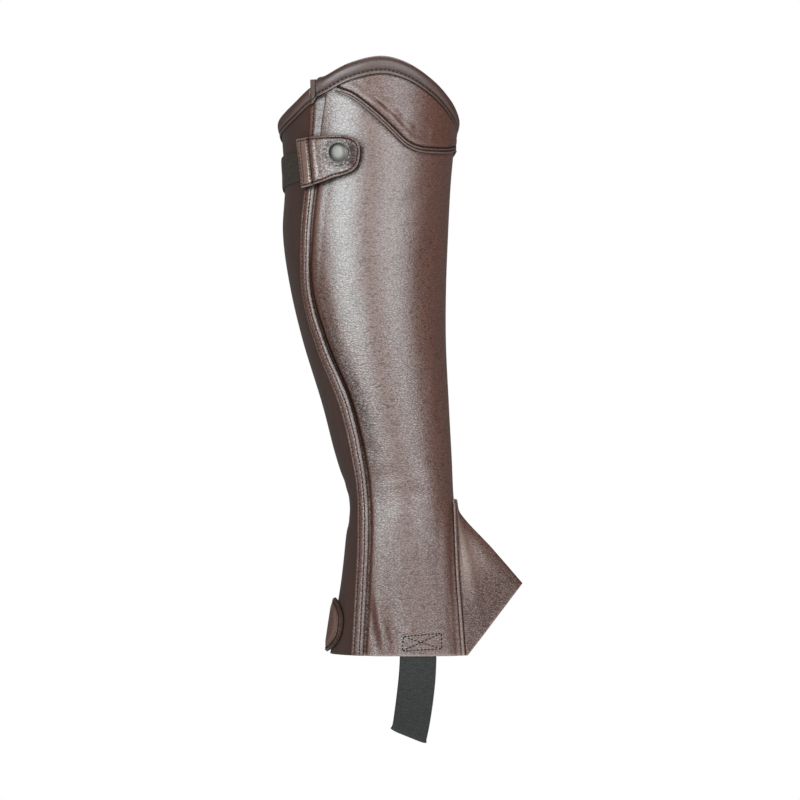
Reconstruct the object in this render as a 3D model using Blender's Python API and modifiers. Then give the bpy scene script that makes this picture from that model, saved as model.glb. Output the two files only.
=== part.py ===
"""A half chap: a leather gaiter for a rider's lower leg, filled out as if it were worn.

The outer side of the leg faces -Y, the shin +X and the calf -X, with +Z up. The origin is the middle
of the calf. Every piece is worked out from one leg surface: a ring for each height, with the angle
measured round it from the outer side (0) by the shin (90), the inner side (180) and the calf (270).
"""

import math

import bmesh
import bpy
from mathutils import Matrix, Vector

# Sizes are in metres, angles in degrees and heights are measured up from the hem.
CALF_ABOVE_HEM = 0.312
ZIP_MEETS_TOP = 0.41
SHIN_NARROWING = 0.05
SMALL_TURN = 0.5
SMALL_RISE = 0.001
MERGE = 0.00002

LEATHER = 0.0016
STRETCH_CLOTH = 0.0014
ELASTIC = 0.0015
CLEARANCE = 0.0004

# The leg by height: the calf side and shin side seen from the outer side, half its breadth, and the
# free edge of the strip that guards the zip.
LEG = [
    # height, calf, shin, half_breadth, guard_edge
    (0.000, -0.0265, 0.0920, 0.0400, -0.0095),
    (0.025, -0.0228, 0.0840, 0.0385, -0.0080),
    (0.055, -0.0182, 0.0765, 0.0365, -0.0062),
    (0.085, -0.0150, 0.0700, 0.0350, -0.0048),
    (0.112, -0.0129, 0.0652, 0.0345, -0.0050),
    (0.142, -0.0206, 0.0636, 0.0380, -0.0085),
    (0.185, -0.0326, 0.0613, 0.0445, -0.0185),
    (0.230, -0.0463, 0.0592, 0.0500, -0.0355),
    (0.270, -0.0560, 0.0593, 0.0530, -0.0460),
    (0.310, -0.0615, 0.0608, 0.0545, -0.0465),
    (0.345, -0.0600, 0.0626, 0.0555, -0.0430),
    (0.380, -0.0620, 0.0655, 0.0575, -0.0395),
    (0.440, -0.0645, 0.0680, 0.0595, -0.0385),
]
CALF_COLUMN, SHIN_COLUMN, BREADTH_COLUMN, GUARD_COLUMN = 1, 2, 3, 4

# Height of the leather's top edge round the leg.
TOP_EDGE = [
    # angle, height
    (-90, 0.3922),
    (-71, 0.3966),
    (-55, 0.4032),
    (-41, 0.4124),
    (-36.6, 0.4148),
    (-34.4, 0.4180),
    (-28, 0.4212),
    (-12, 0.4298),
    (8, 0.4350),
    (25, 0.4312),
    (45, 0.4200),
    (65, 0.4070),
    (90, 0.3940),
    (120, 0.3820),
    (150, 0.3755),
    (180, 0.3735),
    (225, 0.3795),
    (270, 0.3922),
]

# Soft folds in the leather: where each is deepest, how far it spreads, and how far it stands out.
FOLDS = [
    # angle, height, spread_angle, spread_height, out
    (-22, 0.012, 7, 0.045, 0.0016),
    (-9, 0.000, 6, 0.022, -0.0014),
    (24, 0.004, 9, 0.030, 0.0010),
    (62, 0.030, 10, 0.040, -0.0008),
    (-20, 0.112, 26, 0.016, -0.0012),
    (35, 0.128, 24, 0.014, 0.0009),
    (160, 0.008, 9, 0.035, 0.0014),
    (200, 0.118, 26, 0.015, -0.0012),
    (262, 0.106, 16, 0.012, -0.0012),
    (282, 0.152, 20, 0.020, 0.0010),
]

# The back seam, where the leather laps over the stretch panel.
BACK_SEAM = 248
LAP = 0.008
LAP_START = 0.001
LAP_EASE = 0.009

# The zip and the strip that guards it.
GUARD_WIDTH = 0.0092
GUARD_FLARE = 0.0040
GUARD_FLARE_START, GUARD_FLARE_END = 0.375, 0.412
GUARD_LIFT = 0.0006
GUARD_WALL = 0.0015
GUARD_ROLL = 0.0007
GUARD_TOP_GAP = 0.0011
ZIP_FROM_GUARD_EDGE = 0.0045
ZIP_HALF_GAP = 0.0030
CHAIN_HALF = 0.0025
CHAIN_WALL = 0.0019
TAPE_HALF = 0.0130
TAPE_WALL = 0.0009
ZIP_START = 0.004
ZIP_TOP_GAP = 0.0015

# The binding rolled over the top edge.
BINDING_DEPTH = 0.0108
BINDING_WALL = 0.0012
BINDING_ROOM = 0.0016
BINDING_BULGE = 0.0009
BINDING_RISE = 0.0019
BINDING_START = 0.0041
BINDING_END_WIDTH = 0.0037
BINDING_SINK_START, BINDING_SINK_END = 16, 9
BINDING_SINK_LEAD = 4
BINDING_PROFILE = [
    # across from the outer face (0) to the inner (1), bulge, rise: -1 is its edge and 1 its crest
    (0.00, 0, -1.00),
    (0.00, 1, -0.66),
    (0.00, 1, -0.25),
    (0.08, 0, 0.75),
    (0.45, 0, 1.00),
    (0.85, 0, 0.75),
    (1.00, -1, -0.30),
    (1.00, 0, -1.00),
]

# The yoke over the front of the top, and the piping along its lower edge.
YOKE_EDGE = [
    # angle, height
    (-20, 0.4130),
    (-10, 0.4085),
    (1.5, 0.3985),
    (10, 0.3900),
    (18, 0.3816),
    (25, 0.3750),
    (34, 0.3710),
    (46, 0.3700),
    (66, 0.3708),
    (90, 0.3732),
    (105, 0.3695),
    (120, 0.3645),
    (135, 0.3630),
    (152, 0.3640),
]
YOKE_WALL = 0.0011
YOKE_LEAST_HEIGHT = 0.0020
PIPING_RADIUS = 0.0009
PIPING_DROP = 0.0014

# The tab that snaps over the zip.
TAB = [
    # angle, lower edge, upper edge
    (-50.8, 0.3420, 0.3778),
    (-44.0, 0.3430, 0.3784),
    (-38.0, 0.3445, 0.3790),
    (-30.0, 0.3466, 0.3794),
    (-23.0, 0.3490, 0.3796),
    (-16.5, 0.3508, 0.3794),
    (-11.5, 0.3528, 0.3784),
    (-8.0, 0.3556, 0.3766),
    (-6.0, 0.3596, 0.3740),
    (-5.2, 0.3640, 0.3710),
]
TAB_SLANT = 4.0
TAB_LIFT = 0.0024
TAB_RISE_SPREAD = 12
TAB_WALL = 0.0024
SNAP_ANGLE = -18.6
SNAP_HEIGHT = 0.3672
SNAP_RADIUS = 0.0076
SNAP_DOME = 0.0024
SNAP_PROFILE = [
    # share of the radius, share of the dome's height
    (0.00, 1.00),
    (0.45, 0.90),
    (0.80, 0.62),
    (1.00, 0.29),
    (0.97, 0.00),
    (0.00, 0.00),
]
SOCKET_RADIUS = 0.0058
SOCKET_TALL = 0.0016
SOCKET_PROFILE = [
    # share of the radius, share of the height
    (0.0, 1.0),
    (0.8, 1.0),
    (1.0, 0.6),
    (1.0, 0.0),
    (0.0, 0.0),
]

# The elastic that draws the tab round the calf.
TAB_ELASTIC = [
    # angle, lower edge, upper edge
    (224, 0.3360, 0.3600),
    (248, 0.3385, 0.3625),
    (270, 0.3420, 0.3655),
    (290, 0.3450, 0.3675),
    (308.5, 0.3475, 0.3685),
]

# The leather patch round the heel.
HEEL_HALF_TURN = 31.0
HEEL_MIDDLE = 0.0208
HEEL_HALF_HEIGHT = 0.0200
HEEL_WALL = 0.0030
HEEL_BULGE = 0.0010
HEEL_SQUARENESS = 2.2
HEEL_REACH = 0.985

# The spat over the instep, lapped on the leather, and the notch that it closes.
SPAT_TOP = 0.1136
SPAT_TIP = 0.0517
SPAT_LAP_EDGE = [
    # height, distance forward
    (0.000, 0.0697),
    (0.035, 0.0673),
    (0.052, 0.0660),
    (0.080, 0.0646),
    (0.106, 0.0636),
    (0.1136, 0.0634),
]
SPAT_RIDGE = [
    # height, distance forward
    (0.0517, 0.1158),
    (0.0780, 0.0930),
    (0.1030, 0.0702),
    (0.1136, 0.0674),
]
SPAT_LAP = 0.0050
SPAT_UNDERLAP = 0.0038
SPAT_WALL = 0.0014
SPAT_ROUNDING = 0.10
SPAT_FULLNESS = 0.06
NOTCH_TOP = 0.1085
NOTCH_CLOSING = 0.012

# The elastic strap that passes under the foot, by its middle line.
STRAP_WIDTH = 0.0268
STRAP_PATH = [
    # forward, share of the way out to the leather, height, tilt
    (0.0385, 1.00, 0.0135, 0),
    (0.0385, 1.00, 0.0030, 0),
    (0.0383, 0.99, -0.0070, -1),
    (0.0376, 0.93, -0.0190, -4),
    (0.0362, 0.80, -0.0320, -8),
    (0.0345, 0.60, -0.0446, -13),
    (0.0328, 0.36, -0.0551, -18),
    (0.0317, 0.15, -0.0607, -21),
    (0.0314, 0.00, -0.0622, -22),
    (0.0317, -0.15, -0.0607, -21),
    (0.0328, -0.36, -0.0551, -18),
    (0.0345, -0.60, -0.0446, -13),
    (0.0362, -0.80, -0.0320, -8),
    (0.0376, -0.93, -0.0190, -4),
    (0.0383, -0.99, -0.0070, -1),
    (0.0385, -1.00, 0.0030, 0),
    (0.0385, -1.00, 0.0135, 0),
]

# How finely the sheets are divided. The leather has two grids that meet in front.
OUTER_COLUMNS, INNER_COLUMNS = 19, 22
NOTCH_ROWS, UPPER_ROWS = 10, 26
LAP_COLUMNS, FLANK_COLUMNS = 2, 8
GRIDS = {
    # name: columns, rows
    "stretch_panel": (9, NOTCH_ROWS + UPPER_ROWS),
    "zip_tape": (4, 32),
    "zip_teeth": (1, 32),
    "zip_guard": (4, 36),
    "top_binding": (72, len(BINDING_PROFILE) - 1),
    "binding_end": (2, 3),
    "front_yoke": (26, 4),
    "snap_tab": (len(TAB) - 1, 6),
    "tab_elastic": (16, 3),
    "heel_patch": (14, 8),
    "front_spat": (2 * (LAP_COLUMNS + FLANK_COLUMNS), 11),
    "foot_strap": (3, 36),
}
PIPING_STEPS = 40
TURN_STEPS = 20
SETTLING_ROUNDS = 3

COLOURS = {
    # name: red, green, blue, roughness, metallic
    "brown_leather": (0.075, 0.045, 0.040, 0.45, 0.0),
    "brown_stretch": (0.050, 0.032, 0.028, 0.85, 0.0),
    "black_elastic": (0.022, 0.023, 0.020, 0.80, 0.0),
    "zip_tape": (0.030, 0.020, 0.018, 0.90, 0.0),
    "zip_teeth": (0.040, 0.028, 0.025, 0.40, 0.0),
    "snap_metal": (0.420, 0.430, 0.420, 0.30, 1.0),
}


def smooth(rows, place, column=1, turn=None):
    """The value of one column on a smooth curve through the rows, which loop every turn if it is given."""
    if turn:
        place = (place - rows[0][0]) % turn + rows[0][0]
        rows = [(rows[-2][0] - turn, *rows[-2][1:]), *rows, (rows[1][0] + turn, *rows[1][1:])]
    place = min(max(place, rows[0][0]), rows[-1][0])
    after = next(i for i in range(1, len(rows)) if place <= rows[i][0])
    first, last = max(after - 2, 0), min(after + 1, len(rows) - 1)
    (x0, y0), (x1, y1) = [(rows[i][0], rows[i][column]) for i in (after - 1, after)]
    slope_in = (y1 - rows[first][column]) / (x1 - rows[first][0])
    slope_out = (rows[last][column] - y0) / (rows[last][0] - x0)
    span = x1 - x0
    t = (place - x0) / span
    return (
        y0 * (1 + 2 * t) * (1 - t) ** 2
        + slope_in * span * t * (1 - t) ** 2
        + y1 * t * t * (3 - 2 * t)
        + slope_out * span * t * t * (t - 1)
    )


def ease(start, end, place):
    """0 at start and 1 at end, with no sudden change of slope."""
    t = min(max((place - start) / (end - start), 0.0), 1.0)
    return t * t * (3 - 2 * t)


def ring(height):
    """The middle, half length and half breadth of the leg at a height."""
    calf = smooth(LEG, height, CALF_COLUMN)
    shin = smooth(LEG, height, SHIN_COLUMN)
    return (calf + shin) / 2, (shin - calf) / 2, smooth(LEG, height, BREADTH_COLUMN)


def fold(angle, height):
    """How far the soft folds push the leg's surface out."""
    out = 0.0
    for at, up, spread_angle, spread_height, most in FOLDS:
        turn = (angle - at + 180) % 360 - 180
        out += most * math.exp(-((turn / spread_angle) ** 2) - ((height - up) / spread_height) ** 2)
    return out


def leg_point(angle, height):
    """A point on the outside of the leg's leather."""
    middle, length, breadth = ring(height)
    swell = fold(angle, height)
    forward, side = math.sin(math.radians(angle)), -math.cos(math.radians(angle))
    across = (breadth + swell) * (1 - SHIN_NARROWING * forward)
    return Vector((middle + (length + swell) * forward, across * side, height - CALF_ABOVE_HEM))


def on_leg(angle, height, lift=0.0):
    """A point that stands off the leg's outside by lift, square to it."""
    round_it = leg_point(angle + SMALL_TURN, height) - leg_point(angle - SMALL_TURN, height)
    up_it = leg_point(angle, height + SMALL_RISE) - leg_point(angle, height - SMALL_RISE)
    return leg_point(angle, height) + round_it.cross(up_it).normalized() * lift


def along(angle, height, distance):
    """The angle reached by going that distance round the leg."""
    step = leg_point(angle + SMALL_TURN, height) - leg_point(angle - SMALL_TURN, height)
    return angle + distance * 2 * SMALL_TURN / step.length


def angle_of(forward, height):
    """The angle, on the outer side, of a point that lies this far forward."""
    middle, length, _ = ring(height)
    return math.degrees(math.asin(min(max((forward - middle) / length, -1.0), 1.0)))


def top_edge(angle):
    """Height of the leather's top edge."""
    return smooth(TOP_EDGE, angle, turn=360)


def guard_angle(height):
    """The angle of the zip guard's free edge."""
    return angle_of(smooth(LEG, height, GUARD_COLUMN), height)


def guard_width(height):
    """The guard's width, which flares towards the top edge."""
    return GUARD_WIDTH + GUARD_FLARE * ease(GUARD_FLARE_START, GUARD_FLARE_END, height)


def zip_angle(height, distance=0.0):
    """The angle of the zip's middle line, or of a line this far in front of it."""
    return along(guard_angle(height), height, ZIP_FROM_GUARD_EDGE + distance)


def notch_angle(height):
    """The angle of the leather's front edge, which meets its mirror image at the top of the notch."""
    lapped = angle_of(smooth(SPAT_LAP_EDGE, height), height)
    closing = ease(NOTCH_TOP - NOTCH_CLOSING, NOTCH_TOP, height)
    edge = along(lapped, height, SPAT_UNDERLAP)
    return edge + (90 - edge) * closing if height < NOTCH_TOP else 90


def dip(angle, height):
    """How far the stretch panel sinks to pass under the leather's back edge."""
    step = (leg_point(BACK_SEAM + 1, height) - leg_point(BACK_SEAM, height)).length
    past = (angle - BACK_SEAM) * step
    return (LEATHER + CLEARANCE) * (1 - ease(LAP_START, LAP_START + LAP_EASE, past))


def material(name):
    """A plain finish from the table of colours."""
    finish = bpy.data.materials.new(name)
    finish.use_nodes = True
    shader = finish.node_tree.nodes["Principled BSDF"]
    red, green, blue, roughness, metallic = COLOURS[name]
    shader.inputs["Base Color"].default_value = (red, green, blue, 1)
    shader.inputs["Roughness"].default_value = roughness
    shader.inputs["Metallic"].default_value = metallic
    finish.diffuse_color = (red, green, blue, 1)
    return finish


def clear_scene():
    """Removes what the scene held."""
    for thing in list(bpy.data.objects):
        bpy.data.objects.remove(thing)


def make_collection(name):
    """The collection that the pieces go in."""
    group = bpy.data.collections.new(name)
    bpy.context.scene.collection.children.link(group)
    return group


def finish_object(group, name, data, finish):
    """Names an object, gives it its finish and puts it with the rest."""
    thing = bpy.data.objects.new(name, data)
    data.materials.append(finish)
    group.objects.link(thing)
    return thing


def add_wall(thing, thickness, even=False):
    """Gives an open sheet its thickness, inwards."""
    wall = thing.modifiers.new("Wall", "SOLIDIFY")
    wall.thickness = thickness
    wall.offset = -1
    wall.use_even_offset = even


def add_grid(mesh, columns, rows, place):
    """Adds a sheet of columns by rows faces, each corner put where place(across, up) says."""
    made = bmesh.ops.create_grid(mesh, x_segments=columns, y_segments=rows, size=0.5)
    for corner in made["verts"]:
        corner.co = place(corner.co.x + 0.5, corner.co.y + 0.5)


def sheet(group, name, place, thickness, finish, even=False):
    """A piece of cloth: a mapped grid with a thickness."""
    mesh = bmesh.new()
    add_grid(mesh, *GRIDS[name], place)
    return sheet_object(group, name, mesh, thickness, finish, even)


def sheet_object(group, name, mesh, thickness, finish, even=False):
    """Turns a mesh that holds an open sheet into an object with a wall."""
    data = bpy.data.meshes.new(name)
    mesh.to_mesh(data)
    mesh.free()
    data.shade_smooth()
    thing = finish_object(group, name, data, finish)
    add_wall(thing, thickness, even)
    return thing


def panel_height(up, angle, notch_share):
    """Rows up to the notch's top are level, and those above rise to the top edge."""
    if up <= notch_share:
        return NOTCH_TOP * up / notch_share
    return NOTCH_TOP + (top_edge(angle) - NOTCH_TOP) * (up - notch_share) / (1 - notch_share)


def panel_place(across, up, start_angle, end_angle):
    """A point of a panel that runs between two edges, each an angle by height."""
    share = NOTCH_ROWS / (NOTCH_ROWS + UPPER_ROWS)
    height = panel_height(up, 0, share)
    for _ in range(SETTLING_ROUNDS):
        angle = start_angle(height) + (end_angle(height) - start_angle(height)) * across
        height = panel_height(up, angle, share)
    return angle, height


def leg_panel(group, finish):
    """The leather from the zip round the shin to the back seam, notched in front for the spat."""
    rows = NOTCH_ROWS + UPPER_ROWS
    mesh = bmesh.new()

    def outer(across, up):
        angle, height = panel_place(across, up, lambda h: zip_angle(h, ZIP_HALF_GAP), notch_angle)
        return on_leg(angle, height)

    def inner(across, up):
        angle, height = panel_place(across, up, lambda h: 180 - notch_angle(h), lambda h: BACK_SEAM)
        return on_leg(angle, height)

    add_grid(mesh, OUTER_COLUMNS, rows, outer)
    add_grid(mesh, INNER_COLUMNS, rows, inner)
    bmesh.ops.remove_doubles(mesh, verts=mesh.verts, dist=MERGE)
    sheet_object(group, "leg_panel", mesh, LEATHER, finish)


def stretch_panel(group, finish):
    """The knitted stretch panel down the calf, from under the back seam to the zip."""

    def place(across, up):
        angle, height = panel_place(
            across,
            up,
            lambda h: along(BACK_SEAM, h, -LAP),
            lambda h: 360 + zip_angle(h, -ZIP_HALF_GAP),
        )
        return on_leg(angle, height, -dip(angle, height))

    sheet(group, "stretch_panel", place, STRETCH_CLOTH, finish)


def zip_top():
    """Height at which the zip ends, just under the binding."""
    return top_edge(zip_angle(ZIP_MEETS_TOP)) - BINDING_DEPTH - ZIP_TOP_GAP


def zip_pieces(group, tape_finish, teeth_finish):
    """The zip's tape on the inside and its closed row of teeth between the panels."""

    def strip(half, lift):
        def place(across, up):
            height = ZIP_START + (zip_top() - ZIP_START) * up
            return on_leg(zip_angle(height, half * (2 * across - 1)), height, lift)

        return place

    tape_lift = -LEATHER - CLEARANCE
    chain_lift = CHAIN_WALL + tape_lift + CLEARANCE
    sheet(group, "zip_tape", strip(TAPE_HALF, tape_lift), TAPE_WALL, tape_finish)
    sheet(group, "zip_teeth", strip(CHAIN_HALF, chain_lift), CHAIN_WALL, teeth_finish)


def guard_height(angle, up):
    """Height up the zip guard, which stops under the binding."""
    return up * (top_edge(angle) - BINDING_DEPTH - GUARD_TOP_GAP)


def zip_guard(group, finish):
    """The strip of leather that covers the zip, full in the middle and free along its back edge."""

    def place(across, up):
        height = guard_height(guard_angle(ZIP_MEETS_TOP), up)
        angle = along(guard_angle(height), height, guard_width(height) * across)
        height = guard_height(angle, up)
        fullness = GUARD_ROLL * math.sin(math.pi * across)
        return on_leg(angle, height, GUARD_LIFT + GUARD_WALL + fullness)

    sheet(group, "zip_guard", place, GUARD_WALL, finish)


def binding_point(angle, step):
    """A point of the binding's face, by its step over the edge from outside to inside."""
    across, bulge, rise = BINDING_PROFILE[step]
    outer = CLEARANCE + BINDING_WALL
    inner = -LEATHER - BINDING_ROOM - BINDING_WALL
    lift = outer + (inner - outer) * across + bulge * BINDING_BULGE
    if lift < 0:
        sink = dip(max(angle - BINDING_SINK_LEAD, BACK_SEAM), ZIP_MEETS_TOP)
        lift -= sink * ease(BACK_SEAM - BINDING_SINK_START, BACK_SEAM - BINDING_SINK_END, angle)
    rise *= BINDING_RISE if rise > 0 else BINDING_DEPTH
    return on_leg(angle, top_edge(angle) + rise, lift)


def top_binding(group, finish):
    """The leather rolled over the top edge, all round from one side of the zip to the other."""
    guard_edge = guard_angle(ZIP_MEETS_TOP)
    start = along(guard_edge, ZIP_MEETS_TOP, BINDING_START)
    end = 360 + along(guard_edge, ZIP_MEETS_TOP, -CLEARANCE)
    last = len(BINDING_PROFILE) - 1

    def place(across, up):
        return binding_point(start + (end - start) * across, round(up * last))

    sheet(group, "top_binding", place, BINDING_WALL, finish)


def binding_end(group, finish):
    """The turned end of the binding, standing upright beside the zip."""
    guard_edge = guard_angle(ZIP_MEETS_TOP)
    top = top_edge(along(guard_edge, ZIP_MEETS_TOP, BINDING_END_WIDTH)) + BINDING_RISE

    def place(across, up):
        angle = along(guard_edge, ZIP_MEETS_TOP, BINDING_END_WIDTH * across)
        bottom = top_edge(angle) - BINDING_DEPTH
        height = bottom + (top - bottom) * up
        bulge = BINDING_BULGE * math.sin(math.pi * across)
        return on_leg(angle, height, GUARD_LIFT + GUARD_WALL + bulge)

    sheet(group, "binding_end", place, GUARD_WALL, finish)


def front_yoke(group, finish):
    """The shaped piece laid over the front of the top, under the binding."""
    first, last = YOKE_EDGE[0][0], YOKE_EDGE[-1][0]

    def place(across, up):
        angle = first + (last - first) * across
        upper = top_edge(angle) - BINDING_DEPTH - CLEARANCE
        lower = min(smooth(YOKE_EDGE, angle), upper - YOKE_LEAST_HEIGHT)
        return on_leg(angle, lower + (upper - lower) * up, CLEARANCE + YOKE_WALL)

    sheet(group, "front_yoke", place, YOKE_WALL, finish)


def yoke_piping(group, finish):
    """The round piping along the yoke's lower edge."""
    first, last = YOKE_EDGE[0][0], YOKE_EDGE[-1][0]
    points = []
    for step in range(PIPING_STEPS + 1):
        angle = first + (last - first) * step / PIPING_STEPS
        upper = top_edge(angle) - BINDING_DEPTH - CLEARANCE
        lower = min(smooth(YOKE_EDGE, angle), upper - YOKE_LEAST_HEIGHT) - PIPING_DROP
        points.append(on_leg(angle, lower, CLEARANCE + PIPING_RADIUS))
    data = bpy.data.curves.new("yoke_piping", "CURVE")
    data.dimensions = "3D"
    data.bevel_depth = PIPING_RADIUS
    data.bevel_resolution = 1
    data.use_fill_caps = True
    line = data.splines.new("POLY")
    line.points.add(len(points) - 1)
    for knot, point in zip(line.points, points):
        knot.co = (*point, 1)
    finish_object(group, "yoke_piping", data, finish)


def tab_lift(angle, height):
    """How far the tab's underside stands off the leg: it rises over the zip guard."""
    over = GUARD_LIFT + GUARD_WALL + GUARD_ROLL + 2 * CLEARANCE - TAB_LIFT
    middle = along(guard_angle(height), height, GUARD_WIDTH / 2)
    return TAB_LIFT + over * math.exp(-(((angle - middle) / TAB_RISE_SPREAD) ** 2))


def snap_tab(group, finish):
    """The tab that closes over the zip, round at its front end."""

    def place(across, up):
        angle, lower, upper = TAB[round(across * (len(TAB) - 1))]
        height = lower + (upper - lower) * up
        angle += TAB_SLANT * (1 - up) * (1 - ease(TAB[0][0], SNAP_ANGLE, angle))
        return on_leg(angle, height, tab_lift(angle, height) + TAB_WALL)

    sheet(group, "snap_tab", place, TAB_WALL, finish)


def turned(group, name, profile, radius, tall, place, finish):
    """A turned piece from a profile of its radius and height, standing square on the leg."""
    mesh = bmesh.new()
    corners = [mesh.verts.new((radius * out, 0, tall * up)) for out, up in profile]
    for one, other in zip(corners, corners[1:]):
        mesh.edges.new((one, other))
    data = bpy.data.meshes.new(name)
    mesh.to_mesh(data)
    mesh.free()
    thing = finish_object(group, name, data, finish)
    turn = thing.modifiers.new("Turn", "SCREW")
    turn.steps = turn.render_steps = TURN_STEPS
    turn.use_merge_vertices = True
    turn.merge_threshold = MERGE
    turn.use_smooth_shade = True
    thing.matrix_world = place
    return thing


def snap_frame(lift):
    """Where a piece of the snap stands: its own Z axis is square to the leg."""
    foot = on_leg(SNAP_ANGLE, SNAP_HEIGHT, lift)
    out = (on_leg(SNAP_ANGLE, SNAP_HEIGHT, lift + SMALL_RISE) - foot).normalized()
    return Matrix.Translation(foot) @ out.to_track_quat("Z", "Y").to_matrix().to_4x4()


def snap(group, finish):
    """The snap's cap on the tab, and its socket between the tab and the leather."""
    tab_top = tab_lift(SNAP_ANGLE, SNAP_HEIGHT) + TAB_WALL
    cap_place = snap_frame(tab_top + CLEARANCE)
    turned(group, "snap_cap", SNAP_PROFILE, SNAP_RADIUS, SNAP_DOME, cap_place, finish)
    socket_place = snap_frame(CLEARANCE)
    turned(group, "snap_socket", SOCKET_PROFILE, SOCKET_RADIUS, SOCKET_TALL, socket_place, finish)


def tab_elastic(group, finish):
    """The elastic from under the tab round the calf to the inner side."""
    first, last = TAB_ELASTIC[0][0], TAB_ELASTIC[-1][0]

    def place(across, up):
        angle = first + (last - first) * across
        lower, upper = smooth(TAB_ELASTIC, angle, 1), smooth(TAB_ELASTIC, angle, 2)
        return on_leg(angle, lower + (upper - lower) * up, CLEARANCE + ELASTIC)

    sheet(group, "tab_elastic", place, ELASTIC, finish)


def heel_patch(group, finish):
    """The rounded patch of leather round the back of the hem."""

    def place(across, up):
        share = math.sin(math.pi / 2 * (2 * across - 1)) * HEEL_REACH
        angle = 270 + HEEL_HALF_TURN * share
        half = HEEL_HALF_HEIGHT * (1 - abs(share) ** HEEL_SQUARENESS) ** (1 / HEEL_SQUARENESS)
        height = HEEL_MIDDLE + half * (2 * up - 1)
        bulge = HEEL_BULGE * (1 - share * share)
        return on_leg(angle, height, CLEARANCE + HEEL_WALL + bulge)

    sheet(group, "heel_patch", place, HEEL_WALL, finish)


def front_spat(group, finish):
    """The spat over the instep: two flanks that meet in a rounded ridge and lap over the leather."""
    lift = CLEARANCE + SPAT_WALL

    def edge(up, distance):
        """A point of the outer lap, this far in front of its back edge."""
        height = SPAT_TOP * up
        angle = along(angle_of(smooth(SPAT_LAP_EDGE, height), height), height, distance)
        return on_leg(angle, height, lift)

    def place(across, up):
        half = LAP_COLUMNS + FLANK_COLUMNS
        column = round(across * 2 * half)
        mirrored = column > half
        if mirrored:
            column = 2 * half - column
        if column < LAP_COLUMNS:
            point = edge(up, SPAT_LAP * column / LAP_COLUMNS)
        else:
            seam = edge(up, SPAT_LAP)
            height = SPAT_TIP + (SPAT_TOP - SPAT_TIP) * up
            ridge = Vector((smooth(SPAT_RIDGE, height), 0, height - CALF_ABOVE_HEM))
            t = 1 - (column - LAP_COLUMNS) / FLANK_COLUMNS
            root = math.sqrt(1 + SPAT_ROUNDING**2)
            toward = (root - math.sqrt(t * t + SPAT_ROUNDING**2)) / (root - SPAT_ROUNDING)
            point = seam.lerp(ridge, toward)
            point.y = seam.y * t * (1 + SPAT_FULLNESS * (1 - t * t))
        return Vector((point.x, -point.y, point.z)) if mirrored else point

    sheet(group, "front_spat", place, SPAT_WALL, finish, even=True)


def foot_strap(group, finish):
    """The elastic strap under the foot: a loop sewn inside both sides of the hem."""
    knots = [(step, *row) for step, row in enumerate(STRAP_PATH)]

    def place(across, up):
        where = up * (len(knots) - 1)
        forward, share, height, tilt = (smooth(knots, where, column) for column in (1, 2, 3, 4))
        offset = (0.5 - across) * STRAP_WIDTH
        lean = math.radians(tilt)
        forward += offset * math.cos(lean)
        hem = max(height, 0.0)
        angle = angle_of(forward, hem)
        side = angle if share > 0 else 180 - angle
        inside = on_leg(side, hem, -LEATHER - CLEARANCE)
        drop = height - hem + offset * math.sin(lean)
        return Vector((forward, inside.y * abs(share), inside.z + drop))

    sheet(group, "foot_strap", place, ELASTIC, finish)


def main():
    """Builds every piece of the half chap."""
    clear_scene()
    group = make_collection("half_chap")
    finishes = {name: material(name) for name in COLOURS}
    leather = finishes["brown_leather"]
    black = finishes["black_elastic"]
    leg_panel(group, leather)
    stretch_panel(group, finishes["brown_stretch"])
    zip_pieces(group, finishes["zip_tape"], finishes["zip_teeth"])
    zip_guard(group, leather)
    top_binding(group, leather)
    binding_end(group, leather)
    front_yoke(group, leather)
    yoke_piping(group, leather)
    snap_tab(group, leather)
    snap(group, finishes["snap_metal"])
    tab_elastic(group, black)
    heel_patch(group, leather)
    front_spat(group, leather)
    foot_strap(group, black)


main()
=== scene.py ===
"""The half chap dressed over its solids, in grained leather, knit, elastic, thread and metal.

Sizes are in metres, angles are in degrees round the leg from its outer side (0) by the shin (90) and
the inner side (180) to the calf (270), and heights are measured up from the hem.
"""

import logging
import math
from collections.abc import Callable, Sequence
from dataclasses import dataclass, field
from enum import Enum

import bpy
import numpy as np
from mathutils import Matrix, Vector


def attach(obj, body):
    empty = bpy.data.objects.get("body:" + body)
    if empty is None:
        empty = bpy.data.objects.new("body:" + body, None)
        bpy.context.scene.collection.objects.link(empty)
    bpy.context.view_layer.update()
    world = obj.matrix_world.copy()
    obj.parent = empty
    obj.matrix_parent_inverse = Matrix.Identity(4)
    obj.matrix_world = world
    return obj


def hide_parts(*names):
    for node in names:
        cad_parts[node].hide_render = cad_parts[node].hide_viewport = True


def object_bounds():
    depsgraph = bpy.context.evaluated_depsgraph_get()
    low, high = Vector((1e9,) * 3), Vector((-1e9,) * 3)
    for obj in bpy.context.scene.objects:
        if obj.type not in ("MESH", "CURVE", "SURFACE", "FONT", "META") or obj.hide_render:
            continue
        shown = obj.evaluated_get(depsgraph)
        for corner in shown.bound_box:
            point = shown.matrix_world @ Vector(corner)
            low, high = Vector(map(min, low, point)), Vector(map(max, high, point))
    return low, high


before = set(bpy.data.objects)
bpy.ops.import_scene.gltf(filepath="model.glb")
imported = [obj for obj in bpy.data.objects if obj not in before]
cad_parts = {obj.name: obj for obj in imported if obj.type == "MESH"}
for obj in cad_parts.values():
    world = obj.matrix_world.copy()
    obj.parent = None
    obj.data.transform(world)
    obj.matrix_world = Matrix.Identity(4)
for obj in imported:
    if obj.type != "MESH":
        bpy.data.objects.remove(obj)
cad_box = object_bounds()

LOG = logging.getLogger("half_chap")
BODY = "root"

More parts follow.
